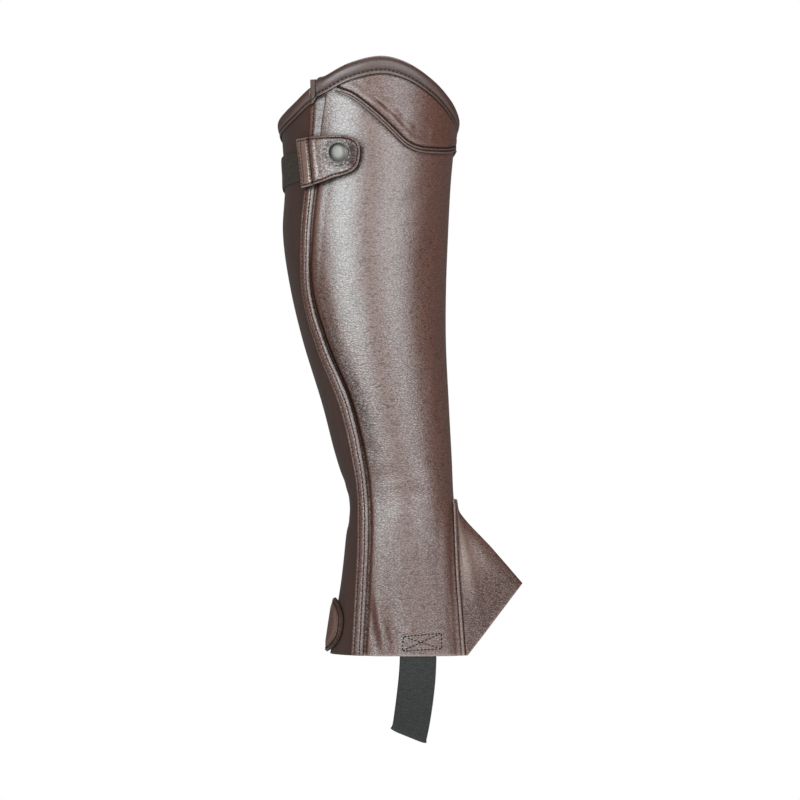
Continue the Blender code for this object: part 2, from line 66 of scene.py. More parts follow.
Array = np.ndarray
Number = float | Array
Colour = tuple[float, float, float]
Rows = tuple[tuple[float, ...], ...]
Path = Callable[[Array, float], Array]
Piece = bpy.types.Object
Finish = bpy.types.Material
Socket = bpy.types.NodeSocket


class Slot(Enum):
    """The material slots."""

    LEATHER = "brown_leather"
    KNIT = "brown_stretch"
    ELASTIC = "black_elastic"
    TAPE = "zip_tape"
    TEETH = "zip_teeth"
    METAL = "snap_metal"


class Hold(Enum):
    """How a sheet of cloth is held."""

    STRETCHED = "stretched"
    HUNG = "hung"
    LAID = "laid"
    FOLDED = "folded"


# Curves and reliefs


@dataclass(frozen=True)
class Curve:
    """A smooth curve through one column of a short table, whose rows are a place and then its values."""

    rows: Rows
    column: int = 1
    turn: float = 0.0  # how far on the table repeats, or 0 where it doesn't

    def at(self, place: Number) -> Array:
        """Reads the curve.

        Args:
            place: One place or many along the table.

        Returns:
            The value at each place.
        """
        places, values = np.array([[row[0], row[self.column]] for row in self.rows], dtype=float).T
        place = np.asarray(place, dtype=float)
        if self.turn:
            place = (place - places[0]) % self.turn + places[0]
            values = np.concatenate(([values[-2]], values, [values[1]]))
            places = np.concatenate(([places[-2] - self.turn], places, [places[1] + self.turn]))
        slopes = np.empty_like(values)
        slopes[1:-1] = (values[2:] - values[:-2]) / (places[2:] - places[:-2])
        slopes[[0, -1]] = (values[[1, -1]] - values[[0, -2]]) / (places[[1, -1]] - places[[0, -2]])
        place = np.clip(place, places[0], places[-1])
        after = np.clip(np.searchsorted(places, place), 1, len(places) - 1)
        before = after - 1
        span = places[after] - places[before]
        t = (place - places[before]) / span
        return (
            values[before] * (1 + 2 * t) * (1 - t) ** 2
            + slopes[before] * span * t * (1 - t) ** 2
            + values[after] * t * t * (3 - 2 * t)
            + slopes[after] * span * t * t * (t - 1)
        )


def ease(start: float, end: float, place: Number) -> Array:
    """Rises from 0 at one place to 1 at another, with no sudden change of slope."""
    t = np.clip((np.asarray(place, dtype=float) - start) / (end - start), 0.0, 1.0)
    return t * t * (3 - 2 * t)


def swell(place: Number, centre: float, half_width: float) -> Array:
    """A soft ridge across a line, 1 at its centre and 0 from its half width on."""
    t = np.clip(np.abs(np.asarray(place, dtype=float) - centre) / half_width, 0.0, 1.0)
    return (1 - t * t) ** 2


def height_between(rows: Rows, angle: Array, up: Array) -> Array:
    """Height at shares of the way from a strip's lower edge to its upper one, whose heights the rows give."""
    low, high = Curve(rows, 1).at(angle), Curve(rows, 2).at(angle)
    return low + (high - low) * up


def ridges(place: Number, rows: Rows) -> Array:
    """Adds up soft ridges, each row its height, its centre and its half width."""
    return sum(height * swell(place, centre, half_width) for height, centre, half_width in rows)


def together(*values: Number) -> list[Array]:
    """Brings numbers and arrays to one shape."""
    return [np.array(one, dtype=float) for one in np.broadcast_arrays(*values)]


def unit(vectors: Array) -> Array:
    """Brings vectors to a length of 1."""
    return vectors / np.linalg.norm(vectors, axis=-1, keepdims=True)


def edge_distance(points: Array, outline: Array) -> Array:
    """How far flat points lie from an outline.

    Args:
        points: Flat points, the last axis holding both coordinates.
        outline: The outline's points in order.

    Returns:
        The distance of each point from the nearest stretch of the outline.
    """
    start, step = outline[:-1], np.diff(outline, axis=0)
    length = np.maximum((step**2).sum(-1), 1e-16)
    off = points[..., None, :] - start
    t = np.clip((off * step).sum(-1) / length, 0.0, 1.0)
    return np.linalg.norm(off - step * t[..., None], axis=-1).min(axis=-1)


def inset_line(outline: Array, distance: float) -> Array:
    """Moves a flat line to its left by a distance."""
    step = unit(np.gradient(outline, axis=0))
    return outline + np.stack([-step[:, 1], step[:, 0]], axis=1) * distance


def walk(line: Array, t: Array) -> Array:
    """Points at shares of the length of a line."""
    gone = np.concatenate(([0.0], np.cumsum(np.linalg.norm(np.diff(line, axis=0), axis=1))))
    return np.stack([np.interp(t * gone[-1], gone, column) for column in line.T], axis=-1)


@dataclass(frozen=True)
class Crease:
    """A soft trough or ridge worn into the leather, by the angle and the height of its middle."""

    angle: float
    height: float
    slant: float  # its slope, 0 where it runs round the leg
    half_length: float
    half_width: float
    out: float  # how far it stands out, less than 0 for a trough

    def push(self, angle: Array, height: Array, per_degree: float) -> Array:
        """How far it moves the surface.

        Args:
            angle: Their angles.
            height: Their heights.
            per_degree: Metres round the leg in one degree.

        Returns:
            The push outwards at each point.
        """
        round_it = ((angle - self.angle + 180) % 360 - 180) * per_degree
        up_it = height - self.height
        lean = math.radians(self.slant)
        along = (round_it * math.cos(lean) + up_it * math.sin(lean)) / self.half_length
        across = (up_it * math.cos(lean) - round_it * math.sin(lean)) / self.half_width
        return self.out * np.exp(-(along**2) - across**2)


def push_all(creases: Rows, angle: Array, height: Array, per_degree: float) -> Array:
    """How far all of some creases push a surface out, with so many metres for each degree."""
    return sum(Crease(*row).push(angle, height, per_degree) for row in creases)


@dataclass(frozen=True)
class LegForm:
    """The form of the filled-out leg, which every piece is worked out from."""

    calf_above_hem: float = 0.312
    zip_meets_top: float = 0.41
    shin_narrowing: float = 0.05
    small_turn: float = 0.5
    small_rise: float = 0.001
    leather: float = 0.0016
    clearance: float = 0.0004
    # height, calf, shin, half breadth, free edge of the zip's guard
    legs: Rows = (
        (0.0, -0.0265, 0.092, 0.04, -0.0095), (0.025, -0.0228, 0.084, 0.0385, -0.008),
        (0.055, -0.0182, 0.0765, 0.0365, -0.0062), (0.085, -0.015, 0.07, 0.035, -0.0048),
        (0.112, -0.0129, 0.0652, 0.0345, -0.005), (0.142, -0.0206, 0.0636, 0.038, -0.0085),
        (0.185, -0.0326, 0.0613, 0.0445, -0.0185), (0.23, -0.0463, 0.0592, 0.05, -0.0355),
        (0.27, -0.056, 0.0593, 0.053, -0.046), (0.31, -0.0615, 0.0608, 0.0545, -0.0465),
        (0.345, -0.06, 0.0626, 0.0555, -0.043), (0.38, -0.062, 0.0655, 0.0575, -0.0395),
        (0.44, -0.0645, 0.068, 0.0595, -0.0385),
    )
    # angle, height of the leather's top edge
    top_rows: Rows = (
        (-90, 0.3922), (-71, 0.3966), (-55, 0.4032), (-41, 0.4124), (-36.6, 0.4148), (-34.4, 0.418),
        (-28, 0.4212), (-12, 0.4298), (8, 0.435), (25, 0.4312), (45, 0.42), (65, 0.407), (90, 0.394),
        (120, 0.382), (150, 0.3755), (180, 0.3735), (225, 0.3795), (270, 0.3922),
    )
    # angle, height, how far it spreads round and up, how far it stands out
    folds: Rows = (
        (-22, 0.012, 7, 0.045, 0.0016), (-9, 0.0, 6, 0.022, -0.0014), (24, 0.004, 9, 0.03, 0.001),
        (62, 0.03, 10, 0.04, -0.0008), (-20, 0.112, 26, 0.016, -0.0012), (35, 0.128, 24, 0.014, 0.0009),
        (160, 0.008, 9, 0.035, 0.0014), (200, 0.118, 26, 0.015, -0.0012), (262, 0.106, 16, 0.012, -0.0012),
        (282, 0.152, 20, 0.02, 0.001),
    )
    back_seam: float = 248.0
    notch_top: float = 0.1085
    notch_closing: float = 0.012
    # height, distance forward of the spat's lap edge
    lap_rows: Rows = (
        (0.0, 0.0697), (0.035, 0.0673), (0.052, 0.066), (0.08, 0.0646), (0.106, 0.0636), (0.1136, 0.0634),
    )
    underlap: float = 0.0038
    rim: float = 0.0003  # radius that a cut edge is rounded to

    def ring(self, height: Number) -> tuple[Array, Array, Array]:
        """The leg's section at a height: its middle, half its length and half its breadth."""
        calf, shin, breadth = (Curve(self.legs, column).at(height) for column in (1, 2, 3))
        return (calf + shin) / 2, (shin - calf) / 2, breadth

    def fold(self, angle: Number, height: Number) -> Array:
        """How far the largest folds push the leg's surface out."""
        return sum(
            most * np.exp(-((((angle - at + 180) % 360 - 180) / wide) ** 2) - ((height - up) / tall) ** 2)
            for at, up, wide, tall, most in self.folds
        )

    def point(self, angle: Number, height: Number) -> Array:
        """Points on the outside of the leg's leather.

        Args:
            angle: Their angles.
            height: Their heights.

        Returns:
            The points.
        """
        middle, length, breadth = self.ring(height)
        push = self.fold(angle, height)
        forward, side = np.sin(np.radians(angle)), -np.cos(np.radians(angle))
        across = (breadth + push) * (1 - self.shin_narrowing * forward)
        ahead, up = middle + (length + push) * forward, height - self.calf_above_hem
        return np.stack(np.broadcast_arrays(ahead, across * side, up), axis=-1)

    def on(self, angle: Number, height: Number, lift: Number = 0.0) -> Array:
        """Points that stand off the leg's outside, square to it.

        Args:
            angle: Their angles.
            height: Their heights.
            lift: How far off each point stands.

        Returns:
            The points.
        """
        angle, height, lift = together(angle, height, lift)
        turn, rise = self.small_turn, self.small_rise
        round_it = self.point(angle + turn, height) - self.point(angle - turn, height)
        up_it = self.point(angle, height + rise) - self.point(angle, height - rise)
        return self.point(angle, height) + unit(np.cross(round_it, up_it)) * lift[..., None]

    def per_degree(self, angle: Number, height: Number) -> Array:
        """Metres round the leg in one degree at each point."""
        back, ahead = (self.point(angle + turn, height) for turn in (-self.small_turn, self.small_turn))
        return np.linalg.norm(ahead - back, axis=-1) / (2 * self.small_turn)

    def along(self, angle: Number, height: Number, distance: Number) -> Array:
        """The angle reached by going a distance round the leg from another."""
        return angle + distance / self.per_degree(angle, height)

    def angle_of(self, forward: Number, height: Number) -> Array:
        """The angle, on the outer side, of points at a distance forward."""
        middle, length, _ = self.ring(height)
        return np.degrees(np.arcsin(np.clip((forward - middle) / length, -1.0, 1.0)))

    def top(self, angle: Number) -> Array:
        """Height of the leather's top edge at an angle."""
        return Curve(self.top_rows, turn=360.0).at(angle)

    def guard(self, height: Number) -> Array:
        """Angle of the free edge of the zip's guard at a height."""
        return self.angle_of(Curve(self.legs, 4).at(height), height)

    def lap(self, height: Number) -> Array:
        """Angle of the spat's lap edge at a height, on the outer side."""
        return self.angle_of(Curve(self.lap_rows).at(height), height)

    def notch(self, height: Number) -> Array:
        """The leather's front edge, which meets its mirror image at the top of the notch.

        Args:
            height: One height or many.

        Returns:
            The angle of the edge at each height, on the outer side.
        """
        closing = ease(self.notch_top - self.notch_closing, self.notch_top, height)
        edge = self.along(self.lap(height), height, self.underlap)
        return np.where(np.asarray(height) < self.notch_top - 1e-9, edge + (90 - edge) * closing, 90.0)

    def flat(self, angle: Number, height: Number, per_degree: float) -> Array:
        """Flat points round and up the leg, at so many metres for each degree."""
        return np.stack(np.broadcast_arrays(np.asarray(angle) * per_degree, height), axis=-1)


LEG = LegForm()


# Finishes


class Bench:
    """Lays out the nodes of one finish."""

    def __init__(self, name: str) -> None:
        """Makes an empty finish of a name."""
        self.material = bpy.data.materials.new(name)
        self.material.use_nodes = True
        self.tree = self.material.node_tree
        self.shader = self.tree.nodes["Principled BSDF"]

    def node(self, kind: str, output: int | str, inputs: dict, **settings: object) -> Socket:
        """Adds a node.

        Args:
            kind: The node's type.
            output: Which of its outputs is used.
            inputs: What its inputs are fed or set to.
            settings: Its properties.

        Returns:
            The output.
        """
        made = self.tree.nodes.new(kind)
        for name, value in settings.items():
            setattr(made, name, value)
        for name, value in inputs.items():
            self.feed(made.inputs[name], value)
        return made.outputs[output]

    def feed(self, into: Socket, value: object) -> None:
        """Links a socket, or sets it to a number or colour.

        Args:
            into: The socket.
            value: Another node's socket, or the value.
        """
        if isinstance(value, Socket):
            self.tree.links.new(value, into)
        elif isinstance(value, tuple) and len(value) == 3 and into.type == "RGBA":
            into.default_value = (*value, 1.0)
        else:
            into.default_value = value

    def place(self, scale: tuple[float, float, float] = (1.0, 1.0, 1.0)) -> Socket:
        """The surface's own place in space, scaled."""
        at = self.node("ShaderNodeTexCoord", "Object", {})
        return self.node("ShaderNodeMapping", "Vector", {"Vector": at, "Scale": scale})

    def level(self) -> Socket:
        """Height of the surface's own place."""
        return self.node("ShaderNodeSeparateXYZ", 2, {0: self.node("ShaderNodeTexCoord", "Object", {})})

    def cut(self, axis: int) -> Socket:
        """Metres across the cut sheet, or up it."""
        sheet = self.node("ShaderNodeUVMap", "UV", {}, uv_map="cut")
        return self.node("ShaderNodeSeparateXYZ", axis, {0: sheet})

    def sum(self, operation: str, *terms: object) -> Socket:
        """Works out an operation on up to three terms."""
        return self.node("ShaderNodeMath", 0, dict(enumerate(terms)), operation=operation)

    def noise(
        self, at: Socket, scale: float, octaves: float = 3.0, rough: float = 0.5, out: str = "Fac"
    ) -> Socket:
        """Soft noise, as a number or as a colour."""
        inputs = {"Vector": at, "Scale": scale, "Detail": octaves, "Roughness": rough}
        return self.node("ShaderNodeTexNoise", out, inputs)

    def ribs(self, along: Socket, pitch: float, phase: object = 0.0) -> Socket:
        """Even ribs from 0 to 1 at a pitch, shifted by a phase in radians."""
        turned = self.sum("MULTIPLY_ADD", along, math.tau / pitch, phase)
        return self.sum("MULTIPLY_ADD", self.sum("SINE", turned), 0.5, 0.5)

    def range(self, value: Socket, low: float, high: float, to: tuple[float, float]) -> Socket:
        """Maps a range softly onto another."""
        inputs = {"Value": value, "From Min": low, "From Max": high, "To Min": to[0], "To Max": to[1]}
        return self.node("ShaderNodeMapRange", "Result", inputs, interpolation_type="SMOOTHSTEP")

    def blend(self, share: object, one: object, other: object) -> Socket:
        """Blends two colours by the share of the second."""
        return self.node("ShaderNodeMix", 2, {0: share, 6: one, 7: other}, data_type="RGBA")

    def bump(self, height: Socket, depth: float, **under: Socket) -> Socket:
        """Raises the surface by a height from 0 to 1, whose depth is in metres."""
        return self.node("ShaderNodeBump", "Normal", {"Distance": depth, "Height": height, **under})

    def mark(self, name: str) -> Socket:
        """A number painted on the piece's own points."""
        return self.node("ShaderNodeAttribute", "Fac", {}, attribute_name=name)

    def finish(self, colour: object, roughness: object, normal: object = None, **fixed: float) -> Finish:
        """Feeds the shader.

        Args:
            colour: The base colour.
            roughness: The roughness.
            normal: The normal.
            fixed: Plain values for the shader's other sockets, with _ for each space.

        Returns:
            The finish.
        """
        self.feed(self.shader.inputs["Base Color"], colour)
        self.feed(self.shader.inputs["Roughness"], roughness)
        if normal is not None:
            self.feed(self.shader.inputs["Normal"], normal)
        for name, value in fixed.items():
            self.shader.inputs[name.replace("_", " ")].default_value = value
        return self.material


@dataclass(frozen=True)
class GrainedLeather:
    """Pebbled cowhide with a semi-gloss dressing, paler where its edges are rubbed and highlights are
    painted, darker and less glossy where shade is painted.
    """

    name: str
    base: Colour = (0.077, 0.029, 0.0195)  # the pebbles
    deep: Colour = (0.016, 0.006, 0.004)  # between them
    wear_and_painted_light: Colour = (0.13, 0.08, 0.065)  # the colour of rubbed edges and of painted highlights
    painted_shade: Colour = (0.006, 0.003, 0.002)  # painted shade in the seams' grooves, beside and under sewn-on pieces and low on the leg
    grain: float = 0.0025  # width of a pebble
    streak: float = 2.3  # how much wider than tall a pebble is
    depth: float = 0.000085  # depth of the grain
    roughness: float = 0.34
    dulled: float = 0.13  # how much rougher it is low on the leg
    crevice: float = 0.42  # how much less gloss there is between the pebbles, a painted shade of the gloss
    pebbled: float = 0.5  # height of the pebbles, as a share of the depth
    rippled: float = 2.1  # height of the ripples, as a share of the depth
    valley: float = 0.15  # how much less gloss there is between the ripples, a painted shade of the gloss
    gloss: float = 0.9  # strength of the dressing's gloss

    def make(self) -> Finish:
        """Builds the finish."""
        bench = Bench(self.name)
        per_metre = 1 / self.grain
        at = bench.place((per_metre, per_metre, per_metre * self.streak))
        drift = {0: bench.noise(at, 0.45, 2.0, out="Color"), 1: (1.3, 1.3, 1.3), 2: at}
        warped = bench.node("ShaderNodeVectorMath", 0, drift, operation="MULTIPLY_ADD")
        cells = {"Vector": warped, "Scale": 1.0}
        to_crevice = bench.node("ShaderNodeTexVoronoi", "Distance", cells, feature="DISTANCE_TO_EDGE")
        pebble = bench.range(to_crevice, 0.0, 0.24, (0.0, 1.0))
        pores = bench.noise(at, 1.6, 2.0, 0.6)
        ripple = bench.noise(bench.place((1.0, 1.0, 2.8)), 0.62 * per_metre, 1.5, 0.5)
        grain = bench.sum("MULTIPLY_ADD", pores, 0.2, bench.sum("MULTIPLY", pebble, self.pebbled))
        stood = bench.sum("MULTIPLY_ADD", ripple, self.rippled, grain)
        height = bench.sum("MULTIPLY", stood, bench.range(bench.level(), -0.2, 0.03, (1.75, 0.85)))
        hide = bench.noise(bench.place((1.0, 1.0, 1.5)), 34.0, 2.0, 0.5)
        under = bench.bump(hide, 0.0003)
        normal = bench.bump(height, self.depth, Normal=under)
        tone = bench.noise(bench.place((1.0, 1.0, 0.6)), 16.0, 4.0, 0.55)
        grained = bench.blend(bench.range(pebble, 0.0, 0.8, (0.15, 1.0)), self.deep, self.base)
        darker = tuple(0.72 * c for c in self.base)
        shaded = bench.blend(bench.range(tone, 0.35, 0.68, (0.0, 0.45)), grained, darker)
        # The marks on the points: above 0 rubbed wear and painted highlight, below 0 painted shade and
        # painted shadow.
        mark = bench.mark("wear_and_painted_light")
        patchy = bench.range(pores, 0.3, 0.6, (0.45, 1.0))
        wear_and_highlight = bench.sum("MULTIPLY", bench.sum("MAXIMUM", mark, 0.0), patchy)
        sunk = bench.sum("MAXIMUM", bench.sum("MULTIPLY", mark, -1.0), 0.0)
        # Painted shade: the colour darkens to the painted shade colour low on the leg and where the marks are
        # below 0.
        low = bench.range(bench.level(), -0.26, -0.19, (1.0, 0.0))
        dark = bench.sum("MINIMUM", bench.sum("MULTIPLY_ADD", low, 0.1, sunk), 1.0)
        colour = bench.blend(dark, bench.blend(wear_and_highlight, shaded, self.wear_and_painted_light), self.painted_shade)
        dressed = bench.range(tone, 0.3, 0.7, (self.roughness - 0.01, self.roughness + 0.02))
        dulled = bench.sum("MULTIPLY_ADD", low, self.dulled, dressed)
        # Painted shade of the gloss: less gloss between the ripples and pebbles, more low on the leg and
        # where the marks are below 0.
        dips = bench.range(ripple, 0.36, 0.5, (self.valley, 0.0))
        valley = bench.sum("MULTIPLY_ADD", low, 0.2, dips)
        deeper = bench.range(bench.level(), -0.16, 0.03, (self.crevice, 0.85 * self.crevice))
        between = bench.sum("SUBTRACT", 1.0, pebble)
        crevice = bench.sum("MULTIPLY_ADD", between, deeper, bench.sum("ADD", sunk, valley))
        gloss = bench.blend(bench.sum("MINIMUM", crevice, 1.0), (1.0, 1.0, 1.0), (0.08, 0.08, 0.08))
        bench.feed(bench.shader.inputs["Specular Tint"], gloss)
        return bench.finish(colour, dulled, normal, Specular_IOR_Level=self.gloss)


@dataclass(frozen=True)
class FleshSide:
    """The napped flesh side of the leather, seen inside."""

    name: str = "leather_flesh_side"
    base: Colour = (0.095, 0.06, 0.047)
    dark: Colour = (0.06, 0.037, 0.029)

    def make(self) -> Finish:
        """Builds the finish."""
        bench = Bench(self.name)
        nap = bench.noise(bench.place((1.0, 1.0, 0.5)), 900.0, 3.0, 0.7)
        patch = bench.noise(bench.place(), 45.0, 3.0)
        shade = bench.sum("MULTIPLY_ADD", patch, 0.6, bench.sum("MULTIPLY", nap, 0.4))
        colour = bench.blend(bench.range(shade, 0.35, 0.65, (0.0, 1.0)), self.dark, self.base)
        normal = bench.bump(nap, 0.00025)
        return bench.finish(colour, 0.92, normal, Sheen_Weight=0.35, Sheen_Roughness=0.5)


@dataclass(frozen=True)
class CutEdge:
    """The raw fibres of a cut edge, sealed with a thin dressing."""

    name: str = "leather_cut_edge"
    base: Colour = (0.175, 0.135, 0.12)
    dark: Colour = (0.085, 0.058, 0.05)

    def make(self) -> Finish:
        """Builds the finish."""
        bench = Bench(self.name)
        fibres = bench.noise(bench.place((1.0, 1.0, 0.35)), 1400.0, 3.0, 0.7)
        colour = bench.blend(bench.range(fibres, 0.35, 0.62, (0.0, 1.0)), self.dark, self.base)
        normal = bench.bump(fibres, 0.00012)
        return bench.finish(colour, 0.62, normal)


@dataclass(frozen=True)
class StretchKnit:
    """Close-knitted stretch cloth with a brushed, matt face."""

    name: str = "calf_stretch_knit"
    base: Colour = (0.032, 0.0132, 0.0092)
    dark: Colour = (0.018, 0.0095, 0.0075)
    course: float = 0.0009
    wale: float = 0.0011

    def make(self) -> Finish:
        """Builds the finish."""
        bench = Bench(self.name)
        across, up = bench.cut(0), bench.cut(1)
        wales = bench.ribs(across, self.wale)
        loops = bench.ribs(up, self.course, bench.sum("MULTIPLY", wales, 1.6))
        fuzz = bench.noise(bench.place(), 2200.0, 2.0, 0.7)
        stitch = bench.sum("MULTIPLY", bench.sum("ADD", wales, loops), 0.5)
        height = bench.sum("MULTIPLY_ADD", fuzz, 0.5, stitch)
        tone = bench.noise(bench.place((1.0, 1.0, 0.3)), 40.0, 4.0)
        shade = bench.sum("MULTIPLY_ADD", stitch, 0.5, bench.sum("MULTIPLY", tone, 0.7))
        colour = bench.blend(bench.range(shade, 0.25, 0.9, (0.0, 1.0)), self.dark, self.base)
        normal = bench.bump(height, 0.00012)
        sheen = {"Sheen_Weight": 0.03, "Sheen_Roughness": 0.45}
        return bench.finish(colour, 0.9, normal, Specular_IOR_Level=0.12, **sheen)


@dataclass(frozen=True)
class WovenElastic:
    """Heavy woven elastic, ribbed across, with covered cords along it."""

    name: str = "woven_elastic"
    base: Colour = (0.02, 0.016, 0.0135)
    dark: Colour = (0.008, 0.0076, 0.007)
    rib: float = 0.0012
    cord: float = 0.0015
    along: int = 1

    def make(self) -> Finish:
        """Builds the finish."""
        bench = Bench(self.name)
        length, width = bench.cut(self.along), bench.cut(1 - self.along)
        cords = bench.ribs(width, self.cord)
        half_turn = bench.sum("MULTIPLY", bench.ribs(width, 2 * self.cord), math.pi)
        picks = bench.ribs(length, self.rib, half_turn)
        uneven = bench.noise(bench.place((1.0, 1.0, 3.0)), 260.0, 3.0, 0.6)
        weave = bench.sum("MULTIPLY_ADD", picks, 0.65, bench.sum("MULTIPLY", cords, 0.35))
        fleck = bench.sum("MULTIPLY", weave, bench.range(uneven, 0.3, 0.7, (0.35, 1.15)))
        colour = bench.blend(bench.range(fleck, 0.15, 0.95, (0.0, 1.0)), self.dark, self.base)
        normal = bench.bump(weave, 0.00022)
        sheen = {"Sheen_Weight": 0.02, "Sheen_Roughness": 0.4}
        return bench.finish(colour, 0.8, normal, Specular_IOR_Level=0.2, **sheen)


@dataclass(frozen=True)
class TwistedThread:
    """Bonded sewing thread."""

    name: str = "sewing_thread"
    base: Colour = (0.012, 0.008, 0.006)
    dark: Colour = (0.005, 0.003, 0.002)

    def make(self) -> Finish:
        """Builds the finish."""
        bench = Bench(self.name)
        plies = bench.noise(bench.place(), 3200.0, 2.0, 0.6)
        colour = bench.blend(bench.range(plies, 0.35, 0.65, (0.0, 1.0)), self.dark, self.base)
        return bench.finish(colour, 0.7, bench.bump(plies, 0.00008), Specular_IOR_Level=0.12)


@dataclass(frozen=True)
class TapeTwill:
    """Herringbone twill of the zip's tape."""

    name: str = "zip_tape_twill"
    base: Colour = (0.04, 0.025, 0.021)
    dark: Colour = (0.016, 0.01, 0.009)
    pitch: float = 0.0009
    stripe: float = 0.0036

    def make(self) -> Finish:
        """Builds the finish."""
        bench = Bench(self.name)
        across, up = bench.cut(0), bench.cut(1)
        zigzag = bench.sum("PINGPONG", bench.sum("ADD", across, 1.0), self.stripe)
        ribs = bench.ribs(bench.sum("ADD", up, zigzag), self.pitch)
        colour = bench.blend(ribs, self.dark, self.base)
        return bench.finish(colour, 0.85, bench.bump(ribs, 0.00014), Sheen_Weight=0.2)


@dataclass(frozen=True)
class CoilNylon:
    """Dyed nylon of the zip's coil."""

    name: str = "zip_coil_nylon"
    base: Colour = (0.045, 0.03, 0.026)

    def make(self) -> Finish:
        """Builds the finish."""
        bench = Bench(self.name)
        drawn = bench.noise(bench.place((1.0, 1.0, 4.0)), 700.0, 2.0)
        colour = bench.blend(drawn, tuple(0.7 * c for c in self.base), self.base)
        return bench.finish(colour, bench.range(drawn, 0.3, 0.7, (0.3, 0.42)))


@dataclass(frozen=True)
class SatinMetal:
    """Satin nickel of the snap, with fine scuffs."""

    name: str = "snap_satin_nickel"
    base: Colour = (0.084, 0.072, 0.066)
    roughness: float = 0.41

    def make(self) -> Finish:
        """Builds the finish."""
        bench = Bench(self.name)
        scuffs = bench.noise(bench.place((1.0, 1.0, 0.2)), 2600.0, 3.0, 0.7)
        tone = bench.noise(bench.place(), 300.0, 2.0)
        colour = bench.blend(tone, tuple(0.86 * c for c in self.base), self.base)
        spread = (self.roughness - 0.04, self.roughness + 0.06)
        roughness = bench.range(scuffs, 0.3, 0.7, spread)
        return bench.finish(colour, roughness, bench.bump(scuffs, 0.000012), Metallic=1.0)


@dataclass(frozen=True)
class PaleFloor:
    """The studio's plain pale floor."""

    name: str = "studio_floor"
    base: Colour = (0.86, 0.86, 0.86)

    def make(self) -> Finish:
        """Builds the finish."""
        bench = Bench(self.name)
        faint = bench.noise(bench.place(), 6.0, 2.0)
        colour = bench.blend(faint, tuple(0.98 * c for c in self.base), self.base)
        return bench.finish(colour, 0.9)


class Wardrobe:
    """Every finish, made once."""

    def __init__(self) -> None:
        """Makes the finishes."""
        self.leather = GrainedLeather("body_leather").make()
        self.tab_leather = GrainedLeather(
            "tab_leather", grain=0.0022, streak=1.2, depth=0.00009, crevice=0.55
        ).make()
        self.yoke_leather = GrainedLeather("yoke_leather", depth=0.00008, gloss=0.62).make()
        self.spat_leather = GrainedLeather("spat_leather", depth=0.00007, crevice=0.4, gloss=0.8).make()
        brown, umber = (0.046, 0.019, 0.014), (0.02, 0.008, 0.006)
        self.binding_leather = GrainedLeather(
            "binding_leather", base=brown, deep=umber, grain=0.0012, streak=1.1, depth=0.00005,
            roughness=0.42,
            crevice=0.2, rippled=1.0, valley=0.05, gloss=0.5,
        ).make()
        tan, umber = (0.076, 0.028, 0.015), (0.024, 0.01, 0.007)
        self.heel_leather = GrainedLeather("heel_leather", base=tan, deep=umber, grain=0.0015).make()
        self.flesh = FleshSide().make()
        self.cut_edge = CutEdge().make()
        self.knit = StretchKnit().make()
        self.elastic = WovenElastic().make()
        brown, umber = (0.033, 0.0162, 0.0095), (0.01, 0.007, 0.005)
        self.band_elastic = WovenElastic("band_elastic", base=brown, dark=umber, along=0).make()
        self.thread = TwistedThread().make()
        self.tape = TapeTwill().make()
        self.nylon = CoilNylon().make()
        self.metal = SatinMetal().make()


# Making meshes


def deselect() -> None:
    """Deselects everything."""
    if bpy.context.object and bpy.context.object.mode != "OBJECT":
        bpy.ops.object.mode_set(mode="OBJECT")
    bpy.ops.object.select_all(action="DESELECT")


def take(piece: Piece) -> None:
    """Makes a piece the one that operators act on.

    Args:
        piece: The piece.
    """
    deselect()
    piece.select_set(True)
    bpy.context.view_layer.objects.active = piece


def apply_modifier(piece: Piece, kind: str, **settings: object) -> None:
    """Adds a modifier and applies it.

    Args:
        piece: The piece that gets it.
        kind: The modifier's type.
        settings: Its properties.
    """
    take(piece)
    made = piece.modifiers.new(kind.title(), kind)
    for name, value in settings.items():
        setattr(made, name, value)
    bpy.ops.object.modifier_apply(modifier=made.name)


def turn_outwards(piece: Piece) -> None:
    """Turns every face of a closed piece outwards.

    Args:
        piece: The piece.
    """
    take(piece)
    bpy.ops.object.mode_set(mode="EDIT")
    bpy.ops.mesh.select_all(action="SELECT")
    bpy.ops.mesh.normals_make_consistent(inside=False)
    bpy.ops.object.mode_set(mode="OBJECT")


def mesh_piece(name: str, points: Array, faces: Array | list[list[int]], uv: Array | None = None) -> Piece:
    """Makes a piece from points and faces.

    Args:
        name: The piece's name.
        points: Its points.
        faces: The corners of each face.
        uv: Where each point lies on the cut sheet, if every face has four corners.

    Returns:
        The piece.
    """
    mesh = bpy.data.meshes.new(name)
    mesh.from_pydata(points.reshape(-1, 3).tolist(), [], faces if isinstance(faces, list) else faces.tolist())
    if uv is not None:
        layer = mesh.uv_layers.new(name="cut")
        layer.data.foreach_set("uv", uv[faces.ravel()].astype(np.float32).ravel())
    mesh.update()
    piece = bpy.data.objects.new(name, mesh)
    bpy.context.scene.collection.objects.link(piece)
    return piece


def paint_wear_and_light(piece: Piece, wear_and_light_marks: Array) -> None:
    """Marks each point of a piece from -1, where shade is painted, to 1, where it is rubbed and a highlight
    is painted.
    """
    layer = piece.data.attributes.new("wear_and_painted_light", "FLOAT", "POINT")
    layer.data.foreach_set("value", wear_and_light_marks.astype(np.float32))


def shape_of(blank: Piece) -> tuple[Array, Array]:
    """Takes the shape of a blank, whose faces have three or four corners, and throws it away.

    Args:
        blank: The blank.

    Returns:
        Its points, and four corners for each face, with the first one again where it has three.
    """
    points = np.array([v.co[:] for v in blank.data.vertices])
    corners = [list(p.vertices) for p in blank.data.polygons]
    bpy.data.objects.remove(blank)
    return points, np.array([c + [c[0]] * (4 - len(c)) for c in corners])


def copied_faces(faces: Array, points: int, copies: int) -> Array:
    """The faces of copies of a shape of so many points."""
    return (faces[None] + (np.arange(copies) * points)[:, None, None]).reshape(-1, 4)


